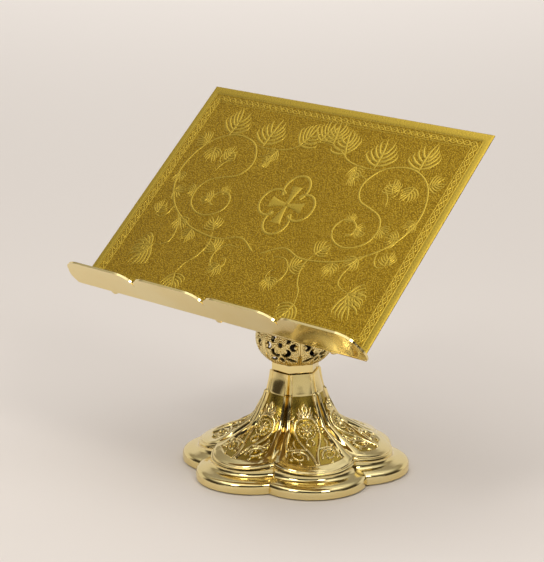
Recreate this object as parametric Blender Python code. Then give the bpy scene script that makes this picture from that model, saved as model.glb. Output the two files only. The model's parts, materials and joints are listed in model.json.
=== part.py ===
"""Bible stand: a pedestal book desk in brass.

A hollow six-lobed cast foot carries a hexagonal collar, a pierced knop and a short turned stem, all
clamped on one tie rod. A swivel head turns in the top of the stem. The sloping desk plate, with its
notched book ledge, tilts on a clevis pivot and is held by a thumb nut.

Frame: origin at the centre of the underside, +Z up, the desk faces -Y, its width runs along X.
Azimuths are measured from -Y towards +X. All sizes are in metres.
"""

import math

import bmesh
import bpy
from mathutils import Matrix, Vector

# ---- driving dimensions -------------------------------------------------------------------------
GAP = 0.0003                   # clearance kept between neighbouring pieces
LOBES = 6
HALF_LOBE = math.pi / LOBES

FOOT_RADIUS = 0.100            # lobe tip
NOTCH_RATIO = 0.853            # notch radius over tip radius at the rim
WALL = 0.0028                  # cast wall of the foot
FLANGE_EDGE = 0.0105           # height where the rim's rounding meets the flange
NECK_TOP = 0.0861
WEB_UNDERSIDE = 0.0780         # underside of the web that the tie rod clamps

FELT_THICKNESS = 0.0020
COVER_THICKNESS = 0.0020
COVER_RADIUS = 0.0964

ROD_RADIUS = 0.0040
ROD_HOLE = 0.0046
COLLAR_RADIUS = 0.0209         # corner radius of the hexagonal collar
COLLAR_HEIGHT = 0.0078

KNOP_RADIUS = 0.0350
KNOP_HALF_HEIGHT = 0.0260
KNOP_LENGTH = 0.0400           # between its two open ends
KNOP_WALL = 0.0022
KNOP_TURN = math.radians(22.4)  # from a lobe's middle to the middle of a panel of the knop
LINER_RADIUS = 0.0160          # tube inside the knop

STEM_TOP = 0.1780
STEM_RADIUS = 0.0110
BORE_RADIUS = 0.0060           # socket for the swivel post
POST_RADIUS = 0.0057
LOCK_HEIGHT = 0.1660           # axis of the swivel lock screw

PIVOT_HEIGHT = 0.2050          # tilt axis, on the stem's centre line
PIVOT_HOLE = 0.0034
BOLT_RADIUS = 0.0030
EAR_RADIUS = 0.0100
EAR_OUTER = 0.0120
EAR_INNER = 0.0070
TONGUE_HALF = 0.0057

DESK_SLOPE = math.radians(44.1)
PLATE_STANDOFF = 0.0270        # pivot to the plate's front face
PLATE_FOOT = -0.1055           # plate's lower edge, along the slope from the pivot
PLATE_LENGTH = 0.2194
PLATE_BOTTOM_HALF = 0.16875
PLATE_TOP_HALF = 0.16345
PLATE_THICKNESS = 0.0015

PAD_THICKNESS = 0.0030         # brazed backing pad and lug foot
LIP_HALF = 0.1727
LIP_HEIGHT = 0.0319
LIP_THICKNESS = 0.0020
LIP_LEAN = math.radians(4.3)   # the lip folds in over the plate
FLANGE_DEPTH = 0.0160
FLANGE_HALF = 0.1650           # its corners are cut back from the lip's ends
FLANGE_THICKNESS = 0.0015
NOTCH_HALF = 0.0185
NOTCH_DEPTH = 0.0125
RIVET_RADIUS = 0.0020
RIVET_X = 0.76 * LIP_HALF
RIVET_HEAD = 0.0060
RIVET_HEAD_HEIGHT = 0.0050

ROUND = 24                     # sides of a turned piece
LOBE_SIDES = 8                 # sides of one lobe of the foot


# ---- scene helpers ------------------------------------------------------------------------------
def clear_scene():
    """Remove every object."""
    for old in list(bpy.data.objects):
        bpy.data.objects.remove(old)


def finish(name, colour, roughness, metallic):
    """Make a Principled material."""
    made = bpy.data.materials.new(name)
    made.use_nodes = True
    shader = made.node_tree.nodes["Principled BSDF"]
    shader.inputs["Base Color"].default_value = (*colour, 1.0)
    shader.inputs["Roughness"].default_value = roughness
    shader.inputs["Metallic"].default_value = metallic
    return made


def axis_empty(name, location, tilt=0.0, parent=None):
    """Place an empty on a joint axis; its children move with that joint."""
    empty = bpy.data.objects.new(name, None)
    empty.location = location
    empty.rotation_euler = (tilt, 0.0, 0.0)
    empty.parent = parent
    bpy.context.collection.objects.link(empty)
    return empty


def make_object(name, bm, material=None, parent=None, matrix=None):
    """Turn a bmesh into a named object with outward faces."""
    bmesh.ops.remove_doubles(bm, verts=bm.verts, dist=1e-7)
    bmesh.ops.recalc_face_normals(bm, faces=bm.faces)
    mesh = bpy.data.meshes.new(name)
    bm.to_mesh(mesh)
    bm.free()
    if material:
        mesh.materials.append(material)
    made = bpy.data.objects.new(name, mesh)
    made.parent = parent
    if matrix is not None:
        made.matrix_local = matrix
    bpy.context.collection.objects.link(made)
    mesh.shade_smooth()
    mesh.set_sharp_from_angle(angle=math.radians(35))
    return made


def combine(target, tool, operation):
    """Cut or fuse a tool object into a target; the tool itself is left out of the model."""
    tool.hide_render = True
    tool.display_type = "WIRE"
    step = target.modifiers.new(f"{operation.lower()}_{tool.name}", "BOOLEAN")
    step.operation = operation
    step.solver = "EXACT"
    step.object = tool


def turned_mesh(profile, closed, sides=ROUND, flutes_over=None, flute_depth=0.0):
    """Spin a (radius, height) profile about Z.

    An open profile starts and ends on the axis; a closed one is a ring section. Where the radius
    passes flutes_over, every second side is pulled in by flute_depth, as a knurl.
    """
    bm = bmesh.new()
    points = [bm.verts.new((radius, 0.0, height)) for radius, height in profile]
    pairs = list(zip(points, points[1:]))
    if closed:
        pairs.append((points[-1], points[0]))
    edges = [bm.edges.new(pair) for pair in pairs]
    bmesh.ops.spin(bm, geom=points + edges, cent=(0, 0, 0), axis=(0, 0, 1), angle=2 * math.pi,
                   steps=sides, use_merge=True)
    if flutes_over:
        for vert in bm.verts:
            radius = vert.co.xy.length
            side = round(math.atan2(vert.co.y, vert.co.x) / (2 * math.pi) * sides)
            if radius > flutes_over and side % 2:
                vert.co.xy *= (radius - flute_depth) / radius
    return bm


def prism_mesh(outline, low, high):
    """Extrude an outline of (x, y) points from low to high along Z."""
    bm = bmesh.new()
    face = bm.faces.new([bm.verts.new((x, y, low)) for x, y in outline])
    grown = bmesh.ops.extrude_face_region(bm, geom=[face])
    lifted = [item for item in grown["geom"] if isinstance(item, bmesh.types.BMVert)]
    bmesh.ops.translate(bm, verts=lifted, vec=(0, 0, high - low))
    return bm


def rectangle(half_x, half_y):
    """Outline of a centred rectangle."""
    return [(-half_x, -half_y), (half_x, -half_y), (half_x, half_y), (-half_x, half_y)]


def circle(radius, sides=ROUND):
    """Outline of a regular polygon around the origin."""
    angles = [2 * math.pi * side / sides for side in range(sides)]
    return [(radius * math.cos(angle), radius * math.sin(angle)) for angle in angles]


def drill(target, name, radius, low, high, matrix, parent=None, sides=20):
    """Cut a round hole along the Z axis of a matrix."""
    bm = prism_mesh(circle(radius, sides), low, high)
    combine(target, make_object(name, bm, parent=parent, matrix=matrix), "DIFFERENCE")


def place(x=0.0, y=0.0, z=0.0):
    """Translation matrix."""
    return Matrix.Translation(Vector((x, y, z)))


ALONG_X = Matrix.Rotation(math.pi / 2, 4, "Y")      # local Z becomes +X
ALONG_Y = Matrix.Rotation(-math.pi / 2, 4, "X")     # local Z becomes +Y


# ---- lobed sections -----------------------------------------------------------------------------
def lobe_radius(tip, notch, turn):
    """Radius at an angle from a lobe's centre line.

    Each lobe is one circular arc through its tip and its two notches. The arc flattens to the side
    of a hexagon as the notch radius grows to tip / cos 30.
    """
    flat = tip - notch * math.cos(HALF_LOBE)
    if abs(flat) < 1e-7:
        return tip / math.cos(turn)
    centre = (tip * tip - notch * notch) / (2 * flat)
    arc = tip - centre
    return centre * math.cos(turn) + math.sqrt(arc * arc - (centre * math.sin(turn)) ** 2)


def lobed_ring(tip, tip_z, notch, notch_z, steps=LOBE_SIDES):
    """Points of one six-lobed ring; its height runs from tip_z to notch_z away from each tip."""
    ring = []
    for index in range(LOBES * steps):
        lobe, step = divmod(index, steps)
        turn = HALF_LOBE * (2 * step / steps - 1)
        radius = lobe_radius(tip, notch, turn)
        azimuth = (2 * lobe + 1) * HALF_LOBE + turn + HALF_LOBE
        height = tip_z + (notch_z - tip_z) * (turn / HALF_LOBE) ** 2
        ring.append((radius * math.sin(azimuth), -radius * math.cos(azimuth), height))
    return ring


def lobed_outline(tip, notch):
    """Flat outline of a six-lobed plate."""
    return [(x, y) for x, y, _ in lobed_ring(tip, 0.0, notch, 0.0)]


def loft_mesh(rings):
    """Join rings of equal length in order, and the last one back to the first."""
    bm = bmesh.new()
    rows = [[bm.verts.new(point) for point in ring] for ring in rings]
    for row, after in zip(rows, rows[1:] + rows[:1]):
        for here in range(len(row)):
            there = (here + 1) % len(row)
            bm.faces.new((row[here], row[there], after[there], after[here]))
    return bm


# ---- foot ---------------------------------------------------------------------------------------
RIM = [  # lobe tip radius and height of the rim, flange, cove and edge steps
    (0.0996, 0.0010), (0.1000, 0.0018), (0.1000, 0.0058), (0.0990, 0.0086), (0.0974, 0.0099),
    (0.0956, 0.0105), (0.0885, 0.0117), (0.0862, 0.0127), (0.0850, 0.0146), (0.0850, 0.0178),
    (0.0837, 0.0182), (0.0836, 0.0190)]
RISE = [  # (tip radius, tip height, notch radius, notch height) up the bell and the neck
    (0.0824, 0.0195, 0.0686, 0.0242), (0.0760, 0.0219, 0.0645, 0.0256),
    (0.0680, 0.0252, 0.0595, 0.0279), (0.0600, 0.0290, 0.0535, 0.0310),
    (0.0520, 0.0329, 0.0470, 0.0346), (0.0450, 0.0369, 0.0413, 0.0382),
    (0.0400, 0.0408, 0.0370, 0.0416), (0.0352, 0.0475, 0.0332, 0.0479),
    (0.0317, 0.0540, 0.0303, 0.0540), (0.0284, 0.0600, 0.0276, 0.0600),
    (0.0254, 0.0675, 0.0253, 0.0675), (0.0233, 0.0740, 0.0240, 0.0740),
    (0.0216, 0.0800, 0.0230, 0.0800), (0.0204, NECK_TOP, 0.0223, NECK_TOP)]


def foot_rows():
    """Outer rows of the foot, from the rim's lower edge to the top of the neck."""
    edge_tip, edge_z, edge_notch, edge_notch_z = RISE[0]
    rows = []
    for tip, height in RIM:
        climb = max(0.0, (height - FLANGE_EDGE) / (edge_z - FLANGE_EDGE))
        ratio = NOTCH_RATIO + climb * (edge_notch / edge_tip - NOTCH_RATIO)
        rows.append((tip, height, tip * ratio, height + climb * (edge_notch_z - edge_z)))
    return rows + RISE


def make_foot(material):
    """Hollow cast foot: six-lobed rim, flange, bell and neck, with three bosses inside."""
    outer = foot_rows()
    inner = [(tip - WALL, tip_z - WALL, notch - WALL, notch_z - WALL)
             for tip, tip_z, notch, notch_z in outer if FLANGE_EDGE <= tip_z < WEB_UNDERSIDE][::2]
    rim_inside = FOOT_RADIUS - WALL
    rings = [lobed_ring(*row) for row in outer]
    rings += [lobed_ring(ROD_HOLE, NECK_TOP, ROD_HOLE, NECK_TOP),
              lobed_ring(ROD_HOLE, WEB_UNDERSIDE, ROD_HOLE, WEB_UNDERSIDE),
              lobed_ring(0.0190, WEB_UNDERSIDE, 0.0200, WEB_UNDERSIDE)]
    rings += [lobed_ring(*row) for row in reversed(inner[1:])]
    for height in (inner[0][1], 0.0010):
        rings.append(lobed_ring(rim_inside, height, rim_inside * NOTCH_RATIO, height))
    foot = make_object("foot", loft_mesh(rings), material)
    for index, spot in enumerate(boss_spots(), 1):
        boss = make_object(f"boss_tool_{index}", prism_mesh(circle(0.0050, 20), 0.0046, 0.0208),
                           matrix=place(*spot))
        combine(foot, boss, "UNION")
        drill(foot, f"boss_hole_{index}", 0.0018, 0.0040, 0.0140, place(*spot), sides=16)
    return foot


def boss_spots():
    """Centres of the three screw bosses, under every second lobe."""
    return [(0.072 * math.sin(turn), -0.072 * math.cos(turn))
            for turn in (0.0, 2 * math.pi / 3, 4 * math.pi / 3)]


def make_cover(material, felt, steel):
    """Steel cover plate under the foot, its three countersunk screws and the felt."""
    low = FELT_THICKNESS + GAP
    high = low + COVER_THICKNESS
    outline = lobed_outline(COVER_RADIUS, COVER_RADIUS * NOTCH_RATIO)
    cover = make_object("base_cover", prism_mesh(outline, low, high), material)
    make_object("felt_pad", prism_mesh(outline, 0.0, FELT_THICKNESS), felt)
    sink = [(0.0, low - 0.001), (0.0037, low - 0.001), (0.0037, low + 0.0002), (0.0019, high - 0.0003),
            (0.0019, high + 0.001), (0.0, high + 0.001)]
    screw = [(0.0, low), (0.0033, low), (0.0033, low + 0.0002), (0.0015, high - 0.0004),
             (0.0015, 0.0130), (0.0, 0.0135)]
    for index, spot in enumerate(boss_spots(), 1):
        tool = make_object(f"countersink_{index}", turned_mesh(sink, False, 16), matrix=place(*spot))
        combine(cover, tool, "DIFFERENCE")
        make_object(f"base_screw_{index}", turned_mesh(screw, False, 16), steel, matrix=place(*spot))


# ---- column -------------------------------------------------------------------------------------
def make_tie_rod(steel):
    """Threaded rod that clamps the column, with its nut and washer inside the neck."""
    rod = [(0.0, 0.0640), (ROD_RADIUS - 0.0005, 0.0640), (ROD_RADIUS, 0.0645),
           (ROD_RADIUS, 0.1500), (0.0, 0.1500)]
    make_object("tie_rod", turned_mesh(rod, False, 16), steel)
    washer_top = WEB_UNDERSIDE - GAP
    washer = [(ROD_HOLE, washer_top - 0.0015), (0.0110, washer_top - 0.0015),
              (0.0110, washer_top), (ROD_HOLE, washer_top)]
    make_object("rod_washer", turned_mesh(washer, True), steel)
    nut_top = washer_top - 0.0015 - GAP
    nut = make_object("rod_nut", prism_mesh(circle(0.0075, 6), nut_top - 0.0065, nut_top), steel)
    drill(nut, "nut_thread", ROD_RADIUS + GAP, 0.0600, 0.0800, Matrix(), sides=16)


def make_collar(brass):
    """Hexagonal collar on the neck, its faces square to the lobes."""
    low = NECK_TOP + GAP
    bm = prism_mesh(circle(COLLAR_RADIUS, LOBES), low, low + COLLAR_HEIGHT)
    collar = make_object("hex_collar", bm, brass)
    drill(collar, "collar_hole", ROD_HOLE, low - 0.001, low + COLLAR_HEIGHT + 0.001, Matrix())


def knop_section():
    """Closed (radius, height) section of the knop's wall, from the lower to the upper end."""
    base = knop_base()
    middle = base + KNOP_LENGTH / 2
    reach = math.asin(KNOP_LENGTH / 2 / KNOP_HALF_HEIGHT)
    turns = [reach * (step / 5 - 1) for step in range(11)]
    outside = [(KNOP_RADIUS * math.cos(t), middle + KNOP_HALF_HEIGHT * math.sin(t)) for t in turns]
    shrink = 1 - KNOP_WALL / KNOP_RADIUS
    inside = [(shrink * radius, height) for radius, height in outside]
    return outside + inside[::-1]


def knop_base():
    """Height of the knop's lower end."""
    return NECK_TOP + GAP + COLLAR_HEIGHT + GAP


def leaf_outline(length, width):
    """Pointed oval opening, tip up."""
    points = []
    for step in range(10):
        turn = 2 * math.pi * step / 10
        narrow = 1 - 0.55 * max(0.0, math.sin(turn)) ** 2
        points.append((width / 2 * math.cos(turn) * narrow, length / 2 * math.sin(turn)))
    return points


def make_knop(brass, steel):
    """Pierced knop, with an upper and a lower opening in each of six panels, and its liner tube."""
    knop = make_object("knop", turned_mesh(knop_section(), True, 30), brass)
    middle = knop_base() + KNOP_LENGTH / 2
    for index in range(2 * LOBES):
        panel, upper = divmod(index, 2)
        turn = Matrix.Rotation((panel + 0.5) * 2 * HALF_LOBE + KNOP_TURN, 4, "Z")
        slope = Matrix.Rotation(math.radians(70 if upper else 110), 4, "Y")
        bm = prism_mesh(leaf_outline(0.0125, 0.0110), 0.0200, 0.0420)
        tool = make_object(f"piercing_{index}", bm, matrix=place(z=middle) @ turn @ slope)
        combine(knop, tool, "DIFFERENCE")
    bore = LINER_RADIUS - 0.0020
    tube = [(bore, knop_base()), (LINER_RADIUS, knop_base()),
            (LINER_RADIUS, knop_base() + KNOP_LENGTH), (bore, knop_base() + KNOP_LENGTH)]
    make_object("knop_core_tube", turned_mesh(tube, True), steel)


def make_stem(brass):
    """Upper collar and turned stem, with the swivel socket and the lock screw's hole."""
    low = knop_base() + KNOP_LENGTH + GAP
    collar = [(ROD_HOLE, low), (0.0200, low), (0.0200, low + 0.0022), (0.0180, low + 0.0035),
              (0.0140, low + 0.0045), (0.0135, low + 0.0062), (ROD_HOLE, low + 0.0062)]
    make_object("upper_collar", turned_mesh(collar, True), brass)
    foot = low + 0.0062 + GAP
    pocket = 0.1510
    floor = 0.1535
    profile = [(0.0, pocket), (ROD_RADIUS + GAP, pocket), (ROD_RADIUS + GAP, foot), (0.0130, foot),
               (0.0130, foot + 0.0020), (0.0108, foot + 0.0040), (0.0104, 0.1490), (0.0122, 0.1505),
               (0.0122, 0.1525), (STEM_RADIUS, 0.1540), (STEM_RADIUS, STEM_TOP - 0.0060),
               (0.0135, STEM_TOP - 0.0040), (0.0135, STEM_TOP), (BORE_RADIUS, STEM_TOP),
               (BORE_RADIUS, floor), (0.0, floor)]
    stem = make_object("stem", turned_mesh(profile, False), brass)
    drill(stem, "lock_hole", 0.0023, 0.0010, 0.0200, place(z=LOCK_HEIGHT) @ ALONG_Y)


def make_lock_screw(brass):
    """Knurled thumbscrew whose tip sits in the groove of the swivel post."""
    axis = axis_empty("lock_screw_axis", (0.0, 0.0, LOCK_HEIGHT))
    profile = [(0.0, 0.0046), (0.0020, 0.0046), (0.0020, 0.0116), (0.0042, 0.0116),
               (0.0042, 0.0145), (0.0080, 0.0152), (0.0080, 0.0198), (0.0066, 0.0210), (0.0, 0.0216)]
    bm = turned_mesh(profile, False, 32, 0.0070, 0.0006)
    make_object("swivel_lock_screw", bm, brass, axis, ALONG_Y)


# ---- swivel head and pivot ----------------------------------------------------------------------
def make_swivel_head(brass, axis):
    """Post, flange and two clevis ears in one casting, around the tilt axis."""
    base = STEM_TOP + GAP - PIVOT_HEIGHT
    groove = LOCK_HEIGHT - PIVOT_HEIGHT
    post = [(0.0, 0.1540 - PIVOT_HEIGHT), (POST_RADIUS, 0.1540 - PIVOT_HEIGHT),
            (POST_RADIUS, groove - 0.0027), (0.0042, groove - 0.0027), (0.0042, groove + 0.0027),
            (POST_RADIUS, groove + 0.0027), (POST_RADIUS, base), (0.0150, base),
            (0.0150, base + 0.0035), (0.0125, base + 0.0060), (0.0, base + 0.0060)]
    head = make_object("swivel_head", turned_mesh(post, False), brass, axis)
    arc = [(EAR_RADIUS * math.cos(t), EAR_RADIUS * math.sin(t))
           for t in (math.pi * step / 16 for step in range(17))]
    outline = arc + [(-EAR_RADIUS, base + 0.0040), (EAR_RADIUS, base + 0.0040)]
    side_on = Matrix(((0, 0, 1, 0), (1, 0, 0, 0), (0, 1, 0, 0), (0, 0, 0, 1)))
    block = make_object("ear_tool", prism_mesh(outline, -EAR_OUTER, EAR_OUTER), parent=axis,
                        matrix=side_on)
    combine(head, block, "UNION")
    slot = make_object("slot_tool", prism_mesh(rectangle(EAR_INNER, 0.0150), -0.0110, 0.0150),
                       parent=axis)
    combine(head, slot, "DIFFERENCE")
    drill(head, "pivot_hole", PIVOT_HOLE, -0.0200, 0.0200, ALONG_X, axis)


def make_pivot(brass, steel, fibre, axis):
    """Pivot bolt, its washer and the two friction washers of the clevis."""
    head_at = -(EAR_OUTER + GAP)
    shaft = turned_mesh([(0.0, head_at), (BOLT_RADIUS, head_at), (BOLT_RADIUS, 0.0235),
                         (0.0025, 0.0240), (0.0, 0.0240)], False, 16)
    bolt = make_object("pivot_bolt", shaft, steel, axis, ALONG_X)
    cap = make_object("bolt_head_tool", prism_mesh(circle(0.0065, 6), head_at - 0.0040, head_at + 0.0001),
                      parent=axis, matrix=ALONG_X)
    combine(bolt, cap, "UNION")
    start = EAR_OUTER + GAP
    washer = [(PIVOT_HOLE, start), (0.0070, start), (0.0070, start + 0.0010), (PIVOT_HOLE, start + 0.0010)]
    make_object("pivot_washer", turned_mesh(washer, True), steel, axis, ALONG_X)
    disc = [(PIVOT_HOLE, 0.0060), (0.0090, 0.0060), (0.0090, 0.0067), (PIVOT_HOLE, 0.0067)]
    make_object("friction_washer_right", turned_mesh(disc, True), fibre, axis, ALONG_X)
    turned_back = Matrix.Rotation(math.pi, 4, "Z") @ ALONG_X
    make_object("friction_washer_left", turned_mesh(disc, True), fibre, axis, turned_back)


def make_thumb_nut(brass, axis):
    """Knurled thumb nut that clamps the tilt."""
    start = EAR_OUTER + GAP + 0.0010 + GAP
    profile = [(0.0, 0.0246), (BOLT_RADIUS + GAP, 0.0246), (BOLT_RADIUS + GAP, start),
               (0.0060, start), (0.0060, start + 0.0020), (0.0100, start + 0.0030),
               (0.0100, start + 0.0105), (0.0085, start + 0.0125), (0.0, start + 0.0140)]
    bm = turned_mesh(profile, False, 36, 0.0090, 0.0007)
    make_object("tilt_thumb_nut", bm, brass, axis, ALONG_X)


# ---- desk, in a frame tilted with the plate: X width, Y up the slope, Z out of the book face -----
PLATE_BACK = PLATE_STANDOFF - PLATE_THICKNESS
PAD_TOP = PLATE_BACK - GAP
LUG_TOP = PAD_TOP - PAD_THICKNESS - GAP
LUG_LOW = LUG_TOP - PAD_THICKNESS
LUG_SCREWS = [(x, y) for x in (-0.018, 0.018) for y in (-0.011, 0.011)]
RIVET_Y = PLATE_FOOT + 0.0042
RIVET_SPOTS = [(x, RIVET_Y) for x in (-RIVET_X, 0.0, RIVET_X)]


def make_plate(etched, frame):
    """Desk plate: thin sheet, a little narrower at the top, drilled for the ledge rivets."""
    top = PLATE_FOOT + PLATE_LENGTH
    outline = [(-PLATE_BOTTOM_HALF, PLATE_FOOT), (PLATE_BOTTOM_HALF, PLATE_FOOT),
               (PLATE_TOP_HALF, top), (-PLATE_TOP_HALF, top)]
    bm = prism_mesh(outline, PLATE_BACK, PLATE_STANDOFF)
    plate = make_object("desk_plate", bm, etched, frame)
    for index, spot in enumerate(RIVET_SPOTS, 1):
        drill(plate, f"plate_hole_{index}", RIVET_RADIUS + GAP, 0.0200, 0.0300, place(*spot), frame, 16)


def make_lug(brass, steel, frame):
    """Backing pad brazed behind the plate, the pivot lug and its four screws."""
    pad = make_object("backing_pad", prism_mesh(rectangle(0.045, 0.030), LUG_TOP + GAP, PAD_TOP),
                      brass, frame)
    lug = make_object("pivot_lug", prism_mesh(rectangle(0.026, 0.017), LUG_LOW, LUG_TOP), brass, frame)
    reach = 0.0090
    arc = [(reach * math.cos(t), reach * math.sin(t))
           for t in (-math.pi * step / 16 for step in range(17))]
    outline = arc + [(-0.0120, LUG_LOW + 0.0010), (0.0120, LUG_LOW + 0.0010)]
    side_on = Matrix(((0, 0, 1, 0), (1, 0, 0, 0), (0, 1, 0, 0), (0, 0, 0, 1)))
    tongue = make_object("tongue_tool", prism_mesh(outline, -TONGUE_HALF, TONGUE_HALF), parent=frame,
                         matrix=side_on)
    combine(lug, tongue, "UNION")
    drill(lug, "lug_bore", PIVOT_HOLE, -0.0200, 0.0200, ALONG_X, frame)
    screw = [(0.0, LUG_LOW - GAP - 0.0022), (0.0022, LUG_LOW - GAP - 0.0018),
             (0.0032, LUG_LOW - GAP - 0.0006), (0.0032, LUG_LOW - GAP), (0.0015, LUG_LOW - GAP),
             (0.0015, PAD_TOP - GAP), (0.0, PAD_TOP - GAP)]
    for index, spot in enumerate(LUG_SCREWS, 1):
        at = place(*spot)
        drill(pad, f"pad_hole_{index}", 0.0018, 0.0100, 0.0300, at, frame, 16)
        drill(lug, f"lug_hole_{index}", 0.0018, 0.0100, 0.0300, at, frame, 16)
        make_object(f"lug_screw_{index}", turned_mesh(screw, False, 16), steel, frame, at)


def lip_outline():
    """Front outline of the ledge's lip: (along, up) points, symmetric about the middle.

    Three notches and the two ends share one rounded shoulder, a quarter of an ellipse. Each end
    then runs down in a shallow outward swell.
    """
    spacing = LIP_HALF / 2
    low = LIP_HEIGHT - NOTCH_DEPTH
    angles = [math.pi / 2 * step / 6 for step in range(7)]
    falling = [(NOTCH_HALF * (math.sin(t) - 1), NOTCH_DEPTH * (math.cos(t) - 1)) for t in angles]
    right = []
    for step in range(6):
        along = step / 6
        right.append((LIP_HALF + 0.0035 * math.sin(math.pi * along), low * along))
    top = [(LIP_HALF + x, LIP_HEIGHT + y) for x, y in reversed(falling)]
    for centre in (spacing, 0.0, -spacing):
        top += [(centre - x, LIP_HEIGHT + y) for x, y in falling]
        top += [(centre + x, LIP_HEIGHT + y) for x, y in reversed(falling[:-1])]
    top += [(-LIP_HALF - x, LIP_HEIGHT + y) for x, y in falling]
    left = [(-x, y) for x, y in reversed(right)]
    return right + top + left


def make_ledge(brass, frame):
    """Book ledge: a notched lip in front of the plate and a fixing flange behind it."""
    fold = -FLANGE_THICKNESS - GAP - PLATE_THICKNESS        # flange's rear face, from the book face
    lean = Matrix.Rotation(math.pi / 2 - LIP_LEAN, 4, "X")
    rise = math.tan(LIP_LEAN) * fold
    corner = PLATE_FOOT - GAP - LIP_THICKNESS / math.cos(LIP_LEAN) + rise
    bm = prism_mesh(lip_outline(), -LIP_THICKNESS, 0.0)
    at = place(0.0, corner, PLATE_STANDOFF + fold) @ lean
    ledge = make_object("ledge", bm, brass, frame, at)
    outline = [(-FLANGE_HALF, corner + 0.0010), (FLANGE_HALF, corner + 0.0010),
               (FLANGE_HALF, corner + FLANGE_DEPTH), (-FLANGE_HALF, corner + FLANGE_DEPTH)]
    low = PLATE_STANDOFF + fold
    flange = make_object("flange_tool", prism_mesh(outline, low, low + FLANGE_THICKNESS), parent=frame)
    combine(ledge, flange, "UNION")
    head_at = low - GAP
    crown = head_at - RIVET_HEAD_HEIGHT
    rivet = [(0.0, crown), (0.0034, crown + 0.0003), (0.0052, crown + 0.0012), (RIVET_HEAD, crown + 0.0030),
             (RIVET_HEAD, head_at), (RIVET_RADIUS, head_at), (RIVET_RADIUS, PLATE_STANDOFF - 0.0001),
             (0.0, PLATE_STANDOFF - 0.0001)]
    for index, spot in enumerate(RIVET_SPOTS, 1):
        drill(ledge, f"ledge_hole_{index}", RIVET_RADIUS + GAP, 0.0200, PAD_TOP + 0.0002,
              place(*spot), frame, 16)
        make_object(f"ledge_rivet_{index}", turned_mesh(rivet, False, 16), brass, frame, place(*spot))


# ---- assembly -----------------------------------------------------------------------------------
def main():
    """Build every piece."""
    clear_scene()
    brass = finish("polished_brass", (0.84, 0.66, 0.30), 0.10, 1.0)
    etched = finish("etched_brass", (0.50, 0.36, 0.07), 0.42, 1.0)
    steel = finish("steel", (0.45, 0.44, 0.42), 0.35, 1.0)
    felt = finish("green_felt", (0.03, 0.09, 0.05), 0.95, 0.0)
    fibre = finish("fibre", (0.16, 0.10, 0.06), 0.80, 0.0)

    make_foot(brass)
    make_cover(steel, felt, steel)
    make_tie_rod(steel)
    make_collar(brass)
    make_knop(brass, steel)
    make_stem(brass)
    make_lock_screw(brass)

    swivel = axis_empty("swivel_axis", (0.0, 0.0, PIVOT_HEIGHT))
    make_swivel_head(brass, swivel)
    make_pivot(brass, steel, fibre, swivel)
    make_thumb_nut(brass, swivel)

    desk = axis_empty("tilt_axis", (0.0, 0.0, 0.0), DESK_SLOPE, swivel)
    make_plate(etched, desk)
    make_lug(brass, steel, desk)
    make_ledge(brass, desk)


main()
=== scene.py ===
"""Bible stand in polished and etched brass: fine surfaces, finishes and a small studio.

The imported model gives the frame: where each piece sits and how it moves. Here the cast foot gets its
relief panels, the knop its beaded filigree, the desk its etched scrollwork and the folded ledge its
rounded edges. All sizes are in metres; +Z is up and the desk faces -Y.
"""
import json
import logging
import math
from dataclasses import dataclass, field
from enum import Enum

import bpy
import numpy as np
from mathutils import Matrix, Vector


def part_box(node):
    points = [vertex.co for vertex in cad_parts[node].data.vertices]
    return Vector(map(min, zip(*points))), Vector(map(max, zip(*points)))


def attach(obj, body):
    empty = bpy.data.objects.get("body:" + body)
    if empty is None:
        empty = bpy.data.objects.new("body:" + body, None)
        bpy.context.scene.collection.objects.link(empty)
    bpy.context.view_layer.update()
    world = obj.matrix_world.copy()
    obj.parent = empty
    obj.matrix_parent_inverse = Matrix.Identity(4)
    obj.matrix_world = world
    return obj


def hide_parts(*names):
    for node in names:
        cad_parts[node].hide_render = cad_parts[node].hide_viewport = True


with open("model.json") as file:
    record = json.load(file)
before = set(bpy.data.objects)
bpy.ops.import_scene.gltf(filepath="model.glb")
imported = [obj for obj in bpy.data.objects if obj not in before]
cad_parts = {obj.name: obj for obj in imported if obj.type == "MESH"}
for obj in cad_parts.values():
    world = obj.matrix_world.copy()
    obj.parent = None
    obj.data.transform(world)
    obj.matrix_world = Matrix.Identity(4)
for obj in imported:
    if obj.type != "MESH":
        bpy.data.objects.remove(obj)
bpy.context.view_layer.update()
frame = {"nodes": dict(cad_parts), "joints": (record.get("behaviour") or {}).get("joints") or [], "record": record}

LOG = logging.getLogger("bible_stand")
MM = 0.001
HALF_LOBE = math.pi / 6
LOBES = 6


# ---- arrays into meshes ---------------------------------------------------------------------------
def quads(rows: int, cols: int, wrap_rows: bool = False, wrap_cols: bool = False) -> np.ndarray:
    """Corner numbers of the cells of a grid of points.

    Args:
        rows: Points along the first direction.
        cols: Points along the second direction.
        wrap_rows: Whether the last row joins the first.
        wrap_cols: Whether the last column joins the first.

    Returns:
        One row of four corner numbers for each cell.
    """
    down = np.arange(rows if wrap_rows else rows - 1)[:, None]
    across = np.arange(cols if wrap_cols else cols - 1)[None, :]
    below, right = (down + 1) % rows, (across + 1) % cols
    corners = (down * cols + across, down * cols + right, below * cols + right, below * cols + across)
    return np.stack(np.broadcast_arrays(*corners), -1).reshape(-1, 4)


def signed_volume(points: np.ndarray, faces: np.ndarray) -> float:
    """Volume inside closed faces, negative where they point inwards.

    Args:
        points: One (x, y, z) row per vertex.
        faces: One row of corner numbers per face.

    Returns:
        The sum of the tetrahedra between the middle of the points and each face's triangles.
    """
    corners = points[faces] - points.mean(0)
    total = 0.0
    for second in range(1, faces.shape[1] - 1):
        cross = np.cross(corners[:, second], corners[:, second + 1])
        total += float((corners[:, 0] * cross).sum())
    return total


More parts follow.
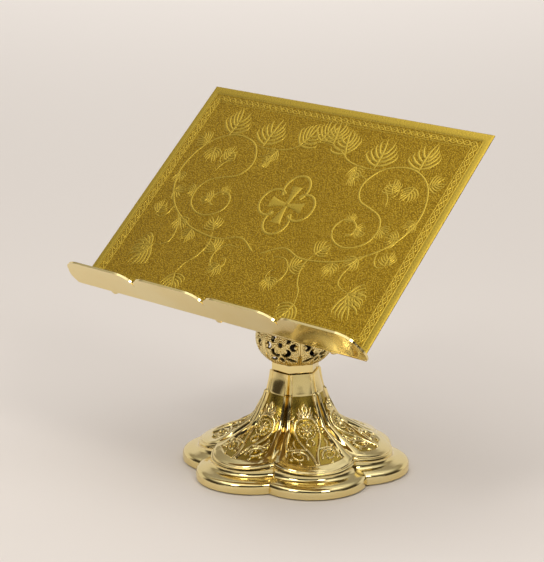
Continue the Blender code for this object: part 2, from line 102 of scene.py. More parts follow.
def add_piece(name: str, points: np.ndarray, faces: list[np.ndarray], body: str, finish: "Finish",
              stands_for: tuple[str, ...] = (), sharp: float = 40.0,
              paint: np.ndarray | None = None) -> bpy.types.Object:
    """Make a closed mesh piece that rides on a body.

    Args:
        name: The piece's name.
        points: Vertices in the row frame.
        faces: Arrays of faces, each with its own number of corners.
        body: The body it moves with.
        finish: Its finish.
        stands_for: CAD nodes that it replaces.
        sharp: Angle in degrees above which an edge stays sharp.
        paint: Optional value per vertex, from 0 to 1, stored as the attribute "ground".

    Returns:
        The new object, at the origin.
    """
    points = points.reshape(-1, 3)
    if sum(signed_volume(points, part) for part in faces) < 0:
        faces = [part[:, ::-1] for part in faces]
    mesh = bpy.data.meshes.new(name)
    mesh.vertices.add(len(points))
    mesh.vertices.foreach_set("co", points.astype(np.float32).ravel())
    totals = np.concatenate([np.full(len(part), part.shape[1]) for part in faces])
    starts = np.concatenate([[0], np.cumsum(totals)[:-1]])
    mesh.loops.add(int(totals.sum()))
    mesh.loops.foreach_set("vertex_index", np.concatenate([part.ravel() for part in faces]).astype(np.int32))
    mesh.polygons.add(len(totals))
    mesh.polygons.foreach_set("loop_start", starts.astype(np.int32))
    mesh.polygons.foreach_set("loop_total", totals.astype(np.int32))
    mesh.update(calc_edges=True)
    mesh.validate()
    mesh.shade_smooth()
    mesh.set_sharp_from_angle(angle=math.radians(sharp))
    if paint is not None:
        ground = mesh.attributes.new("ground", "FLOAT", "POINT")
        ground.data.foreach_set("value", paint.astype(np.float32).ravel())
    made = bpy.data.objects.new(name, mesh)
    bpy.context.scene.collection.objects.link(made)
    mesh.materials.append(finish.material())
    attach(made, body)
    if stands_for:
        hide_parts(*stands_for)
    LOG.info("%s: %d vertices on %s", name, len(points), body)
    return made


def slab(front: np.ndarray, back: np.ndarray) -> tuple[np.ndarray, list[np.ndarray]]:
    """Close two grids of the same size, a front and a back, into one sheet with a wall all round.

    Args:
        front: Rows by columns by 3.
        back: The same, behind it.

    Returns:
        The points of both grids, and their faces.
    """
    rows, cols = front.shape[:2]
    size = rows * cols
    skin = quads(rows, cols)
    loop = np.concatenate([np.arange(cols), np.arange(2 * cols - 1, size, cols),
                           np.arange(size - 2, size - cols - 1, -1), np.arange(size - 2 * cols, 0, -cols)])
    after = np.roll(loop, -1)
    wall = np.stack([loop, loop + size, after + size, after], -1)
    points = np.concatenate([front.reshape(-1, 3), back.reshape(-1, 3)])
    return points, [skin, skin[:, ::-1] + size, wall]


def ease_edges(piece: bpy.types.Object, width: float, angle: float) -> None:
    """Round a piece's edges that turn by more than an angle.

    Args:
        piece: The piece.
        width: Width of the rounding in metres.
        angle: Degrees.
    """
    ease = piece.modifiers.new("eased_edges", "BEVEL")
    ease.width = width
    ease.segments = 2
    ease.limit_method = "ANGLE"
    ease.angle_limit = math.radians(angle)


def smoothstep(value: np.ndarray, low: float, high: float) -> np.ndarray:
    """Rise from 0 at low to 1 at high, level at both ends: 3t squared less 2t cubed."""
    part = np.clip((value - low) / (high - low), 0.0, 1.0)
    return part * part * (3 - 2 * part)


def spline(points: np.ndarray, per_span: int) -> np.ndarray:
    """Smooth open curve through points.

    A Catmull-Rom curve: on each span the position is the cubic whose slope at each end is half the
    step between that end's two neighbours.

    Args:
        points: Points to pass through, one per row.
        per_span: Steps between two of them.

    Returns:
        The points of the curve, first and last included.
    """
    ends = np.vstack([2 * points[0] - points[1], points, 2 * points[-1] - points[-2]])
    before, start, stop, after = ends[:-3], ends[1:-2], ends[2:-1], ends[3:]
    t = (np.arange(per_span) / per_span)[None, :, None]
    before, start, stop, after = (part[:, None, :] for part in (before, start, stop, after))
    curve = 0.5 * (2 * start + (stop - before) * t
                   + (2 * before - 5 * start + 4 * stop - after) * t ** 2
                   + (3 * start - before - 3 * stop + after) * t ** 3)
    return np.vstack([curve.reshape(-1, points.shape[1]), points[-1:]])


def even_steps(path: np.ndarray, count: int) -> np.ndarray:
    """Resample a path to points that lie evenly along its length."""
    run = np.concatenate([[0.0], np.cumsum(np.linalg.norm(np.diff(path, axis=0), axis=1))])
    at = np.linspace(0.0, run[-1], count)
    return np.stack([np.interp(at, run, path[:, axis]) for axis in range(path.shape[1])], -1)


def surface_normals(points: np.ndarray, wrap: bool = False) -> np.ndarray:
    """Unit normals of a grid of points, from the cross product of its two slopes.

    Args:
        points: Grid of (x, y, z), rows by columns.
        wrap: Whether the last column joins the first.

    Returns:
        One unit vector per point, along the column slope crossed with the row slope.
    """
    if wrap:
        across = np.roll(points, -1, 1) - np.roll(points, 1, 1)
    else:
        across = np.gradient(points, axis=1)
    normal = np.cross(across, np.gradient(points, axis=0))
    return normal / np.maximum(np.linalg.norm(normal, axis=-1, keepdims=True), 1e-12)


# ---- strokes: the drawn lines of every ornament ---------------------------------------------------
class Taper(Enum):
    """How a stroke's width runs along it."""

    EVEN = "even"
    TIP = "tip"
    BOTH = "both"
    LEAF = "leaf"
    FLARE = "flare"


@dataclass
class Stroke:
    """One drawn line: its path in millimetres, half width, height and taper."""

    path: np.ndarray
    half_width: float
    height: float
    taper: Taper = Taper.BOTH

    def shares(self, count: int) -> np.ndarray:
        """Share of the full half width at evenly spaced places along the stroke."""
        t = np.linspace(0.0, 1.0, count)
        if self.taper is Taper.EVEN:
            return np.ones(count)
        if self.taper is Taper.TIP:
            return 1.0 - 0.85 * t ** 2
        if self.taper is Taper.LEAF:
            return 0.12 + 0.88 * np.sin(math.pi * t ** 0.75) ** 0.8
        if self.taper is Taper.FLARE:
            return 0.32 + 0.68 * t ** 1.6
        return 0.25 + 0.75 * np.sin(math.pi * t) ** 0.5

    def mirrored(self) -> "Stroke":
        """The same stroke on the other side of the middle line."""
        return Stroke(self.path * np.array([-1.0, 1.0]), self.half_width, self.height, self.taper)

    def moved(self, across: float, up: float, turn: float = 0.0, size: float = 1.0) -> "Stroke":
        """The stroke scaled, turned by an angle in degrees, and shifted."""
        cos, sin = math.cos(math.radians(turn)), math.sin(math.radians(turn))
        path = self.path * size @ np.array([[cos, sin], [-sin, cos]]) + np.array([across, up])
        return Stroke(path, self.half_width * size, self.height, self.taper)


def line(points: list[tuple[float, float]], half_width: float, height: float,
         taper: Taper = Taper.BOTH) -> Stroke:
    """A stroke through a few points, made smooth."""
    return Stroke(spline(np.array(points, float), 8), half_width, height, taper)


def volute(across: float, up: float, radius: float, start: float, turns: float, half_width: float,
           height: float) -> Stroke:
    """A spiral stroke that winds inwards.

    Its radius falls evenly with the angle, from the full radius to a fifth of it.

    Args:
        across: Centre, across.
        up: Centre, up.
        radius: Outer radius.
        start: Starting angle in degrees.
        turns: Full turns, negative for clockwise.
        half_width: Half width of the line.
        height: Height of the line.

    Returns:
        The stroke.
    """
    t = np.linspace(0.0, 1.0, max(14, int(abs(turns) * 26)))
    angle = math.radians(start) + 2 * math.pi * turns * t
    reach = radius * (1 - 0.8 * t)
    path = np.stack([across + reach * np.cos(angle), up + reach * np.sin(angle)], -1)
    return Stroke(path, half_width, height, Taper.TIP)


def leaf(size: float, lobes: int = 3, height: float = 0.2, curl: float = 0.0) -> list[Stroke]:
    """A scrolled leaf that grows up from the origin.

    A midrib with pairs of pointed lobes; each lobe leaves the midrib, swings out and turns up.

    Args:
        size: Length of the leaf.
        lobes: Pairs of lobes.
        height: Height of the strokes.
        curl: Sideways reach of the tip, as a share of the size.

    Returns:
        The strokes of the leaf.
    """
    rib = [(0.0, 0.0), (0.05 * curl * size, 0.35 * size), (0.4 * curl * size, 0.72 * size),
           (curl * size, size)]
    strokes = [line(rib, 0.050 * size, height, Taper.LEAF)]
    for pair in range(lobes):
        root = 0.08 + 0.5 * pair / lobes
        reach = (0.52 - 0.10 * pair) * size
        shift = curl * root ** 2 * size
        for side in (-1.0, 1.0):
            points = [(shift, root * size), (shift + side * 0.55 * reach, (root + 0.10) * size),
                      (shift + side * reach, (root + 0.30) * size),
                      (shift + side * 1.02 * reach, (root + 0.46) * size)]
            strokes.append(line(points, 0.046 * size, height, Taper.LEAF))
    return strokes


def both_sides(strokes: list[Stroke]) -> list[Stroke]:
    """The strokes and their mirror images."""
    return strokes + [stroke.mirrored() for stroke in strokes]


def relief(across: np.ndarray, up: np.ndarray, strokes: list[Stroke], samples: int = 26) -> np.ndarray:
    """Height field of rounded strokes.

    At each place the height is the tallest stroke's height times the square root of one less the
    squared share of its half width that lies between the place and the stroke's middle line.

    Args:
        across: Coordinates across, in millimetres.
        up: Coordinates up, in millimetres.
        strokes: The strokes.
        samples: Points per stroke.

    Returns:
        Height at each coordinate, in millimetres.
    """
    here = np.stack([across, up], -1)[..., None, :]
    field_height = np.zeros(across.shape)
    for stroke in strokes:
        path = even_steps(stroke.path, samples)
        start, step = path[:-1], np.diff(path, axis=0)
        along = ((here - start) * step).sum(-1) / np.maximum((step ** 2).sum(-1), 1e-9)
        along = np.clip(along, 0.0, 1.0)
        gap = np.linalg.norm(here - start - along[..., None] * step, axis=-1)
        shares = stroke.shares(samples)
        width = stroke.half_width * (shares[:-1] * (1 - along) + shares[1:] * along)
        rise = np.sqrt(np.clip(1 - (gap / width) ** 2, 0.0, 1.0)).max(-1)
        field_height = np.maximum(field_height, stroke.height * rise)
    return field_height


# ---- finishes -------------------------------------------------------------------------------------
class Nodes:
    """A short way to add and join shader nodes in one tree."""

    def __init__(self, tree: bpy.types.NodeTree) -> None:
        """Keep the tree."""
        self.tree = tree

    def add(self, kind: str, **settings: object) -> bpy.types.Node:
        """Add a node; settings are its properties, or its input sockets by name with spaces as _."""
        node = self.tree.nodes.new(kind)
        for key, value in settings.items():
            if hasattr(node, key):
                setattr(node, key, value)
            else:
                node.inputs[key.replace("_", " ")].default_value = value
        return node

    def join(self, source: bpy.types.NodeSocket, target: bpy.types.NodeSocket) -> None:
        """Join two sockets."""
        self.tree.links.new(source, target)

    def noise(self, where: bpy.types.NodeSocket, scale: float, detail: float = 3.0,
              stretch: tuple[float, float, float] = (1.0, 1.0, 1.0)) -> bpy.types.NodeSocket:
        """Noise value at a place, optionally stretched along the axes."""
        mapping = self.add("ShaderNodeMapping")
        mapping.inputs["Scale"].default_value = stretch
        self.join(where, mapping.inputs["Vector"])
        texture = self.add("ShaderNodeTexNoise", Scale=scale, Detail=detail, Roughness=0.55)
        self.join(mapping.outputs["Vector"], texture.inputs["Vector"])
        return texture.outputs["Fac"]

    def ramp(self, value: bpy.types.NodeSocket,
             stops: list[tuple[float, tuple[float, ...]]]) -> bpy.types.NodeSocket:
        """Colour ramp through (place, colour) stops."""
        node = self.add("ShaderNodeValToRGB")
        elements = node.color_ramp.elements
        while len(elements) < len(stops):
            elements.new(0.5)
        for element, (place, colour) in zip(elements, stops):
            element.position = place
            element.color = (*colour, 1.0)
        self.join(value, node.inputs["Fac"])
        return node.outputs["Color"]

    def spread(self, value: bpy.types.NodeSocket, low: float, high: float, start: float = 0.3,
               stop: float = 0.7) -> bpy.types.NodeSocket:
        """Map a value from start..stop to low..high."""
        node = self.add("ShaderNodeMapRange")
        for key, number in (("From Min", start), ("From Max", stop), ("To Min", low), ("To Max", high)):
            node.inputs[key].default_value = number
        self.join(value, node.inputs["Value"])
        return node.outputs["Result"]

    def maths(self, operation: str, first: object, second: object) -> bpy.types.NodeSocket:
        """One sum on two values, each a socket or a number."""
        node = self.add("ShaderNodeMath", operation=operation)
        for socket, value in zip(node.inputs, (first, second)):
            if isinstance(value, (int, float)):
                socket.default_value = value
            else:
                self.join(value, socket)
        return node.outputs["Value"]

    def mix(self, amount: bpy.types.NodeSocket, first: object, second: object) -> bpy.types.NodeSocket:
        """Blend two colours, each a socket or a tuple."""
        node = self.add("ShaderNodeMix", data_type="RGBA")
        self.join(amount, node.inputs[0])
        for socket, value in ((node.inputs[6], first), (node.inputs[7], second)):
            if isinstance(value, tuple):
                socket.default_value = (*value, 1.0)
            else:
                self.join(value, socket)
        return node.outputs[2]

    def bump(self, height: bpy.types.NodeSocket, strength: float, distance: float,
             under: bpy.types.NodeSocket | None = None) -> bpy.types.NodeSocket:
        """Bump normal from a height, on top of another normal."""
        node = self.add("ShaderNodeBump", Strength=strength, Distance=distance)
        self.join(height, node.inputs["Height"])
        if under is not None:
            self.join(under, node.inputs["Normal"])
        return node.outputs["Normal"]


@dataclass(frozen=True)
class Finish:
    """A finish: its record slot and its material, made once."""

    slot: str = "brass_polished"
    label: str = "finish"

    def material(self) -> bpy.types.Material:
        """The material, made on first use."""
        found = bpy.data.materials.get(self.label)
        if found:
            return found
        made = bpy.data.materials.new(self.label)
        made.use_nodes = True
        nodes = Nodes(made.node_tree)
        shader = made.node_tree.nodes["Principled BSDF"]
        where = nodes.add("ShaderNodeTexCoord").outputs["Object"]
        self.wire(nodes, shader, where)
        return made

    def wire(self, nodes: Nodes, shader: bpy.types.Node, where: bpy.types.NodeSocket) -> None:
        """Fill the shader's sockets."""
        raise NotImplementedError


@dataclass(frozen=True)
class PolishedBrass(Finish):
    """Mirror-polished cast or sheet brass under lacquer, with painted shade in its hollows."""

    label: str = "polished_brass"
    bright: tuple[float, float, float] = (0.90, 0.76, 0.38)
    deep: tuple[float, float, float] = (0.88, 0.71, 0.31)
    # Painted shade: the darker colour that concave places take.
    hollow_shade: tuple[float, float, float] = (0.60, 0.40, 0.09)
    smoothness: tuple[float, float] = (0.04, 0.10)
    ripple: float = 0.05

    def wire(self, nodes: Nodes, shader: bpy.types.Node, where: bpy.types.NodeSocket) -> None:
        """Two brass tones by slow noise, painted shade in the hollows, fine polishing lines in the roughness."""
        shader.inputs["Metallic"].default_value = 1.0
        slow = nodes.noise(where, 18.0)
        tone = nodes.ramp(slow, [(0.35, self.deep), (0.65, self.bright)])
        # Painted shade: concave places (low pointiness) blend towards the darker hollow colour.
        edge = nodes.add("ShaderNodeNewGeometry").outputs["Pointiness"]
        nodes.join(nodes.mix(nodes.spread(edge, 0.75, 0.0, 0.42, 0.49), tone, self.hollow_shade),
                   shader.inputs["Base Color"])
        swirl = nodes.noise(where, 260.0, 4.0, (1.0, 1.0, 0.35))
        nodes.join(nodes.spread(swirl, *self.smoothness), shader.inputs["Roughness"])
        wave = nodes.bump(nodes.noise(where, 45.0, 2.0), self.ripple, 0.0012)
        nodes.join(nodes.bump(nodes.noise(where, 900.0, 2.0), 0.02, 0.0003, wave), shader.inputs["Normal"])


@dataclass(frozen=True)
class PiercedBrass(PolishedBrass):
    """Cast brass polished outside; rougher, and painted dark as shade, inside and on low ground."""

    label: str = "pierced_brass"
    # Painted shade: the dark colour of the shaded insides and low ground.
    inner: tuple[float, float, float] = (0.040, 0.026, 0.012)
    dullness: float = 0.6

    def wire(self, nodes: Nodes, shader: bpy.types.Node, where: bpy.types.NodeSocket) -> None:
        """The polished finish, taken over by a dull one painted dark as shade as the attribute "ground" rises to
        one.
        """
        super().wire(nodes, shader, where)
        inside = nodes.add("ShaderNodeAttribute", attribute_name="ground").outputs["Fac"]
        tone = shader.inputs["Base Color"].links[0].from_socket
        # Painted shade: where "ground" is one, the colour goes to the dark inner tone.
        nodes.join(nodes.mix(inside, tone, self.inner), shader.inputs["Base Color"])
        smooth = shader.inputs["Roughness"].links[0].from_socket
        dull = nodes.maths("MULTIPLY", inside, self.dullness)
        nodes.join(nodes.maths("MAXIMUM", smooth, dull), shader.inputs["Roughness"])


@dataclass(frozen=True)
class EtchedBrass(Finish):
    """Acid-etched brass sheet.

    The attribute "ground" is zero where the sheet is plain, one on the stippled ground, and two on the
    darker back.
    """

    slot: str = "brass_etched"
    label: str = "etched_brass"
    plain: tuple[float, float, float] = (0.62, 0.44, 0.060)
    stipple: tuple[float, float, float] = (0.68, 0.46, 0.045)
    dark: tuple[float, float, float] = (0.30, 0.18, 0.010)
    rear: tuple[float, float, float] = (0.24, 0.15, 0.045)
    grain: float = 800.0

    def wire(self, nodes: Nodes, shader: bpy.types.Node, where: bpy.types.NodeSocket) -> None:
        """Cells of stipple, slow patches of tone, and a smoother finish off the ground."""
        shader.inputs["Metallic"].default_value = 1.0
        ground = nodes.add("ShaderNodeAttribute", attribute_name="ground").outputs["Fac"]
        cells = nodes.add("ShaderNodeTexVoronoi", Scale=self.grain)
        nodes.join(where, cells.inputs["Vector"])
        grit = nodes.noise(where, self.grain * 0.7, 3.0)
        patch = nodes.noise(where, 14.0, 3.0)
        pit = nodes.spread(cells.outputs["Distance"], 1.0, 0.0, 0.15, 0.6)
        fleck = nodes.mix(pit, self.dark, self.stipple)
        field_tone = nodes.mix(nodes.spread(patch, 0.0, 0.35), fleck, self.dark)
        face_tone = nodes.mix(ground, self.plain, field_tone)
        behind = nodes.spread(ground, 0.0, 1.0, 1.2, 1.8)
        nodes.join(nodes.mix(behind, face_tone, self.rear), shader.inputs["Base Color"])
        smooth = nodes.spread(grit, 0.24, 0.34)
        rough = nodes.spread(grit, 0.36, 0.50)
        blend = nodes.add("ShaderNodeMix", data_type="FLOAT")
        nodes.join(ground, blend.inputs[0])
        nodes.join(smooth, blend.inputs[2])
        nodes.join(rough, blend.inputs[3])
        nodes.join(blend.outputs[0], shader.inputs["Roughness"])
        height = nodes.maths("ADD", nodes.maths("MULTIPLY", cells.outputs["Distance"], 0.7), grit)
        height = nodes.maths("MULTIPLY", height, nodes.spread(ground, 0.12, 1.0, 0.0, 1.0))
        nodes.join(nodes.bump(height, 0.8, 0.0006), shader.inputs["Normal"])


@dataclass(frozen=True)
class TurnedSteel(Finish):
    """Plain turned steel of the hidden fasteners."""

    slot: str = "steel"
    label: str = "turned_steel"
    dull: tuple[float, float, float] = (0.36, 0.35, 0.33)
    clean: tuple[float, float, float] = (0.56, 0.55, 0.52)

    def wire(self, nodes: Nodes, shader: bpy.types.Node, where: bpy.types.NodeSocket) -> None:
        """Grey steel with fine tool marks."""
        shader.inputs["Metallic"].default_value = 1.0
        tone = nodes.ramp(nodes.noise(where, 90.0), [(0.3, self.dull), (0.7, self.clean)])
        nodes.join(tone, shader.inputs["Base Color"])
        marks = nodes.noise(where, 700.0, 3.0, (1.0, 1.0, 0.2))
        nodes.join(nodes.spread(marks, 0.22, 0.42), shader.inputs["Roughness"])
        nodes.join(nodes.bump(marks, 0.12, 0.0003), shader.inputs["Normal"])


@dataclass(frozen=True)
class WoolFelt(Finish):
    """Green wool felt."""

    slot: str = "felt"
    label: str = "wool_felt"

    def wire(self, nodes: Nodes, shader: bpy.types.Node, where: bpy.types.NodeSocket) -> None:
        """Matted fibres in two greens, with a soft sheen."""
        shader.inputs["Metallic"].default_value = 0.0
        shader.inputs["Sheen Weight"].default_value = 0.4
        shader.inputs["Roughness"].default_value = 0.95
        fibre = nodes.noise(where, 1400.0, 6.0)
        nodes.join(nodes.ramp(fibre, [(0.3, (0.012, 0.045, 0.022)), (0.7, (0.035, 0.11, 0.055))]),
                   shader.inputs["Base Color"])
        nodes.join(nodes.bump(fibre, 0.7, 0.0006), shader.inputs["Normal"])


@dataclass(frozen=True)
class PressedFibre(Finish):
    """Vulcanised fibre of the friction washers."""

    slot: str = "fibre"
    label: str = "pressed_fibre"

    def wire(self, nodes: Nodes, shader: bpy.types.Node, where: bpy.types.NodeSocket) -> None:
        """Brown board with a faint mottle."""
        mottle = nodes.noise(where, 400.0, 4.0)
        nodes.join(nodes.ramp(mottle, [(0.3, (0.10, 0.055, 0.030)), (0.7, (0.20, 0.12, 0.07))]),
                   shader.inputs["Base Color"])
        nodes.join(nodes.spread(mottle, 0.6, 0.85), shader.inputs["Roughness"])


POLISHED = PolishedBrass()
CAST = PolishedBrass(label="cast_brass", ripple=0.10, smoothness=(0.07, 0.15))
# The knop: its inside is rougher, and painted near black as the shade inside the hollow knop.
PIERCED = PiercedBrass(ripple=0.10, smoothness=(0.07, 0.15))
# The relief panels: their low ground is rougher, and painted darker as shade.
RELIEF = PiercedBrass(label="relief_brass", ripple=0.04, smoothness=(0.06, 0.13), inner=(0.46, 0.33, 0.055),
                      dullness=0.27)
ETCHED = EtchedBrass()
STEEL = TurnedSteel()
# Steel painted near black, as the shade inside the hollow knop, for the core tube.
SHADE_DARK_STEEL = TurnedSteel(label="shade_dark_steel", dull=(0.020, 0.015, 0.010), clean=(0.040, 0.030, 0.020))
FELT = WoolFelt()
FIBRE = PressedFibre()


# ---- foot -----------------------------------------------------------------------------------------
def lobe_radius(tip: np.ndarray, notch: np.ndarray, turn: np.ndarray) -> np.ndarray:
    """Radius at an angle from a lobe's centre line.

    Each lobe is one arc through its tip and its two notches: with the arc's centre at distance c and
    its radius a, the radius is c cos t plus the root of a squared less c sin t squared.
    """
    flat = tip - notch * math.cos(HALF_LOBE)
    flat = np.where(np.abs(flat) < 1e-7, 1e-7, flat)
    centre = (tip * tip - notch * notch) / (2 * flat)
    arc = tip - centre
    return centre * np.cos(turn) + np.sqrt(np.maximum(arc * arc - (centre * np.sin(turn)) ** 2, 0.0))


@dataclass
class Foot:
    """Cast foot: a six-lobed rim and flange, and a bell with a relief panel on each lobe."""

    rim: tuple[tuple[float, float], ...] = (
        (99.6, 1.0), (100.0, 1.5), (100.0, 5.8), (99.7, 7.4), (98.8, 8.9), (97.4, 9.9), (95.6, 10.5),
        (92.5, 11.0), (89.5, 11.5), (87.7, 11.9), (86.3, 12.7), (85.4, 13.9), (85.0, 15.4), (85.0, 16.0),
        (85.5, 16.3), (85.8, 16.9), (85.5, 17.5), (84.8, 17.8), (84.0, 17.9), (83.7, 18.2), (83.6, 19.0),
        (83.2, 19.5))
    rise: tuple[tuple[float, float, float, float], ...] = (
        (82.6, 19.7, 68.8, 24.1), (76.0, 21.9, 64.5, 25.6), (68.0, 25.2, 59.5, 27.9),
        (60.0, 29.0, 53.5, 31.0), (52.0, 32.9, 47.0, 34.6), (45.0, 36.9, 41.3, 38.2),
        (40.0, 40.8, 37.0, 41.6), (35.2, 47.5, 33.2, 47.9), (31.7, 54.0, 30.3, 54.0),
        (28.4, 60.0, 27.6, 60.0), (25.4, 67.5, 25.3, 67.5), (23.3, 74.0, 24.0, 74.0),
        (21.6, 80.0, 23.0, 80.0), (20.4, 86.1, 22.3, 86.1))
    notch_ratio: float = 0.853
    columns: int = 80                 # along one lobe
    steps: int = 8                    # between two rows of the bell
    panel_foot: float = 22.9          # heights where a panel starts and ends
    panel_head: float = 67.6
    rosette_up: float = 41.0          # along the panel
    wall: float = 2.8

    def rows(self) -> np.ndarray:
        """Fine rows of the outside, from the rim's lower edge up to the neck.

        Returns:
            One (tip radius, tip height, notch radius, notch height) per row, in millimetres.
        """
        edge = self.rise[0]
        low = []
        for tip, height in self.rim:
            climb = max(0.0, (height - 10.7) / (edge[1] - 10.7))
            ratio = self.notch_ratio + climb * (edge[2] / edge[0] - self.notch_ratio)
            low.append((tip, height, tip * ratio, height + climb * (edge[3] - edge[1])))
        low = np.array(low)
        between = (low[:-1] + low[1:]) / 2
        mixed = np.empty((2 * len(low) - 1, 4))
        mixed[0::2] = low
        mixed[1::2] = between
        return np.vstack([mixed, spline(np.array(self.rise), self.steps)])

    def place(self, rows: np.ndarray, turn: np.ndarray, lobe: float) -> np.ndarray:
        """Points of the bell.

        Args:
            rows: Row values, one per row of the grid.
            turn: Angle from the lobe's centre line, rows by columns or columns alone.
            lobe: The lobe's number; its centre line is at 60 degrees times it from -Y.

        Returns:
            Grid of (x, y, z) in millimetres.
        """
        tip, tip_z, notch, notch_z = (rows[:, [axis]] for axis in range(4))
        turn = np.broadcast_to(turn, (len(rows), turn.shape[-1]))
        radius = lobe_radius(tip, notch, turn)
        height = tip_z + (notch_z - tip_z) * (turn / HALF_LOBE) ** 2
        azimuth = 2 * HALF_LOBE * lobe + turn
        return np.stack([radius * np.sin(azimuth), -radius * np.cos(azimuth), height], -1)

    def swell(self, rows: np.ndarray, turn: np.ndarray) -> np.ndarray:
        """Height of ribs, borders and valleys over the plain bell.

        A rib runs up each side of a lobe, with a V valley between neighbours. Between the ribs lies
        the panel's recess; below it a flat border follows the tier's edge.

        Args:
            rows: Row values of the grid.
            turn: Angles, rows by columns.

        Returns:
            Offsets along the normal, in millimetres.
        """
        radius = lobe_radius(rows[:, [0]], rows[:, [2]], turn)
        across = np.abs(radius * np.sin(turn))
        inward = rows[:, [2]] * math.sin(HALF_LOBE) - across
        height = rows[:, [1]]
        rib = self.rib_width(height)
        bell = smoothstep(height, 19.7, 20.4)
        neck = smoothstep(height, self.panel_head, self.panel_head + 1.4)
        recess = smoothstep(inward, rib - 0.2, rib + 0.5) * (1 - neck)
        recess = recess * smoothstep(height, self.panel_foot - 0.5, self.panel_foot)
        slope = smoothstep(height, 21.0, 33.0)
        crest = np.sqrt(np.clip(1 - ((inward - 0.60 * rib) / (0.44 * rib)) ** 2, 0.0, 1.0))
        crest = crest * (0.30 + 1.30 * slope) * (1 - 0.30 * neck)
        valley = np.clip(1 - inward / (0.34 * rib), 0.0, 1.0)
        depth = (2.1 - 0.5 * neck) * (0.35 + 0.65 * slope)
        return bell * (0.3 * (1 - recess) - 0.9 * neck + crest - depth * valley - 0.9 * recess)

    def rib_width(self, height: np.ndarray) -> np.ndarray:
        """Width of the rib beside a panel at a height: widest at the foot."""
        return np.interp(height, [20.0, 30.0, 45.0, 60.0, 86.0], [7.2, 5.4, 4.2, 3.4, 3.0])

    def outer(self) -> np.ndarray:
        """The whole outside as a grid that wraps round, in millimetres."""
        rows = self.rows()
        turn = (np.arange(self.columns) / self.columns * 2 - 1) * HALF_LOBE
        offsets = self.swell(rows, np.broadcast_to(turn, (len(rows), self.columns)))
        plain = np.concatenate([self.place(rows, turn, lobe) for lobe in range(LOBES)], 1)
        return plain + surface_normals(plain, True) * np.tile(offsets, (1, LOBES))[..., None]

    def build(self) -> None:
        """The casting, then its relief panels."""
        outside = self.outer()
        count = outside.shape[1]
        azimuth = np.arctan2(outside[-1, :, 0], -outside[-1, :, 1])
        circle = np.stack([np.sin(azimuth), -np.cos(azimuth), 0 * azimuth], -1)
        up = np.array([0.0, 0.0, 1.0])
        web = [circle * 4.6 + up * 86.1, circle * 4.6 + up * 78.0, circle * 18.6 + up * 78.0]
        rows = self.rows()
        turn = (np.arange(self.columns) / self.columns * 2 - 1) * HALF_LOBE
        picked = rows[(rows[:, 1] > 12.5) & (rows[:, 1] < 78.0)][::6] - self.wall
        inside = np.concatenate([self.place(picked[::-1], turn, lobe) for lobe in range(LOBES)], 1)
        lip = 97.2                    # inner radius of the skirt at a lobe's tip
        edge = np.array([[lip, height, lip * self.notch_ratio, height] for height in (8.0, 1.0)])
        skirt = np.concatenate([self.place(edge, turn, lobe) for lobe in range(LOBES)], 1)
        points = np.concatenate([outside, np.stack(web), inside, skirt], 0)
        faces = [quads(len(points), count, True, True)]
        add_piece("foot_casting", points * MM, faces, "root", CAST, ("foot",), 28.0)
        for lobe in range(LOBES):
            self.panel(lobe)

    def ornament(self) -> list[Stroke]:
        """Strokes of one panel: leafy scrolls below, stems round the rosette, a palmette above."""
        middle = self.rosette_up
        half = [line([(1.0, 0.6), (1.8, 9.0), (4.2, 18.0), (7.8, 26.0), (10.2, 34.0), (10.4, middle),
                      (8.2, middle + 7.5), (4.0, middle + 10.8), (0.0, middle + 11.4)], 1.25, 1.45,
                     Taper.EVEN),
                line([(3.0, 19.0), (8.0, 20.4), (14.0, 19.8), (20.0, 16.8)], 1.2, 1.2, Taper.LEAF),
                line([(0.9, 24.0), (3.4, 28.0), (0.9, 32.4)], 1.1, 1.3, Taper.LEAF),
                line([(13.4, 21.0), (14.6, 25.6), (13.0, 30.5)], 1.2, 1.2, Taper.LEAF),
                line([(16.8, 20.4), (18.0, 23.4), (17.2, 26.6)], 1.1, 1.1, Taper.LEAF),
                line([(10.6, middle + 5.0), (11.0, middle + 9.0), (8.6, middle + 13.0)], 1.0, 1.2,
                     Taper.LEAF)]
        half.append(volute(13.4, 11.2, 7.3, 200.0, -1.55, 1.25, 1.45))
        for turn in (-170, -120, -70, -20, 30):
            bud = line([(0.0, 7.4), (1.3, 9.0), (0.6, 10.8)], 1.15, 1.2, Taper.LEAF)
            half.append(bud.moved(13.4, 11.2, turn))
        for turn, size in ((-88, 7.0), (-60, 8.5), (-31, 10.5), (0, 12.0)):
            half.append(line([(0.0, 1.2), (0.16 * size, 0.5 * size), (0.0, size)], 1.35, 1.4,
                             Taper.LEAF).moved(0.0, middle + 11.6, turn))
        return both_sides(half)

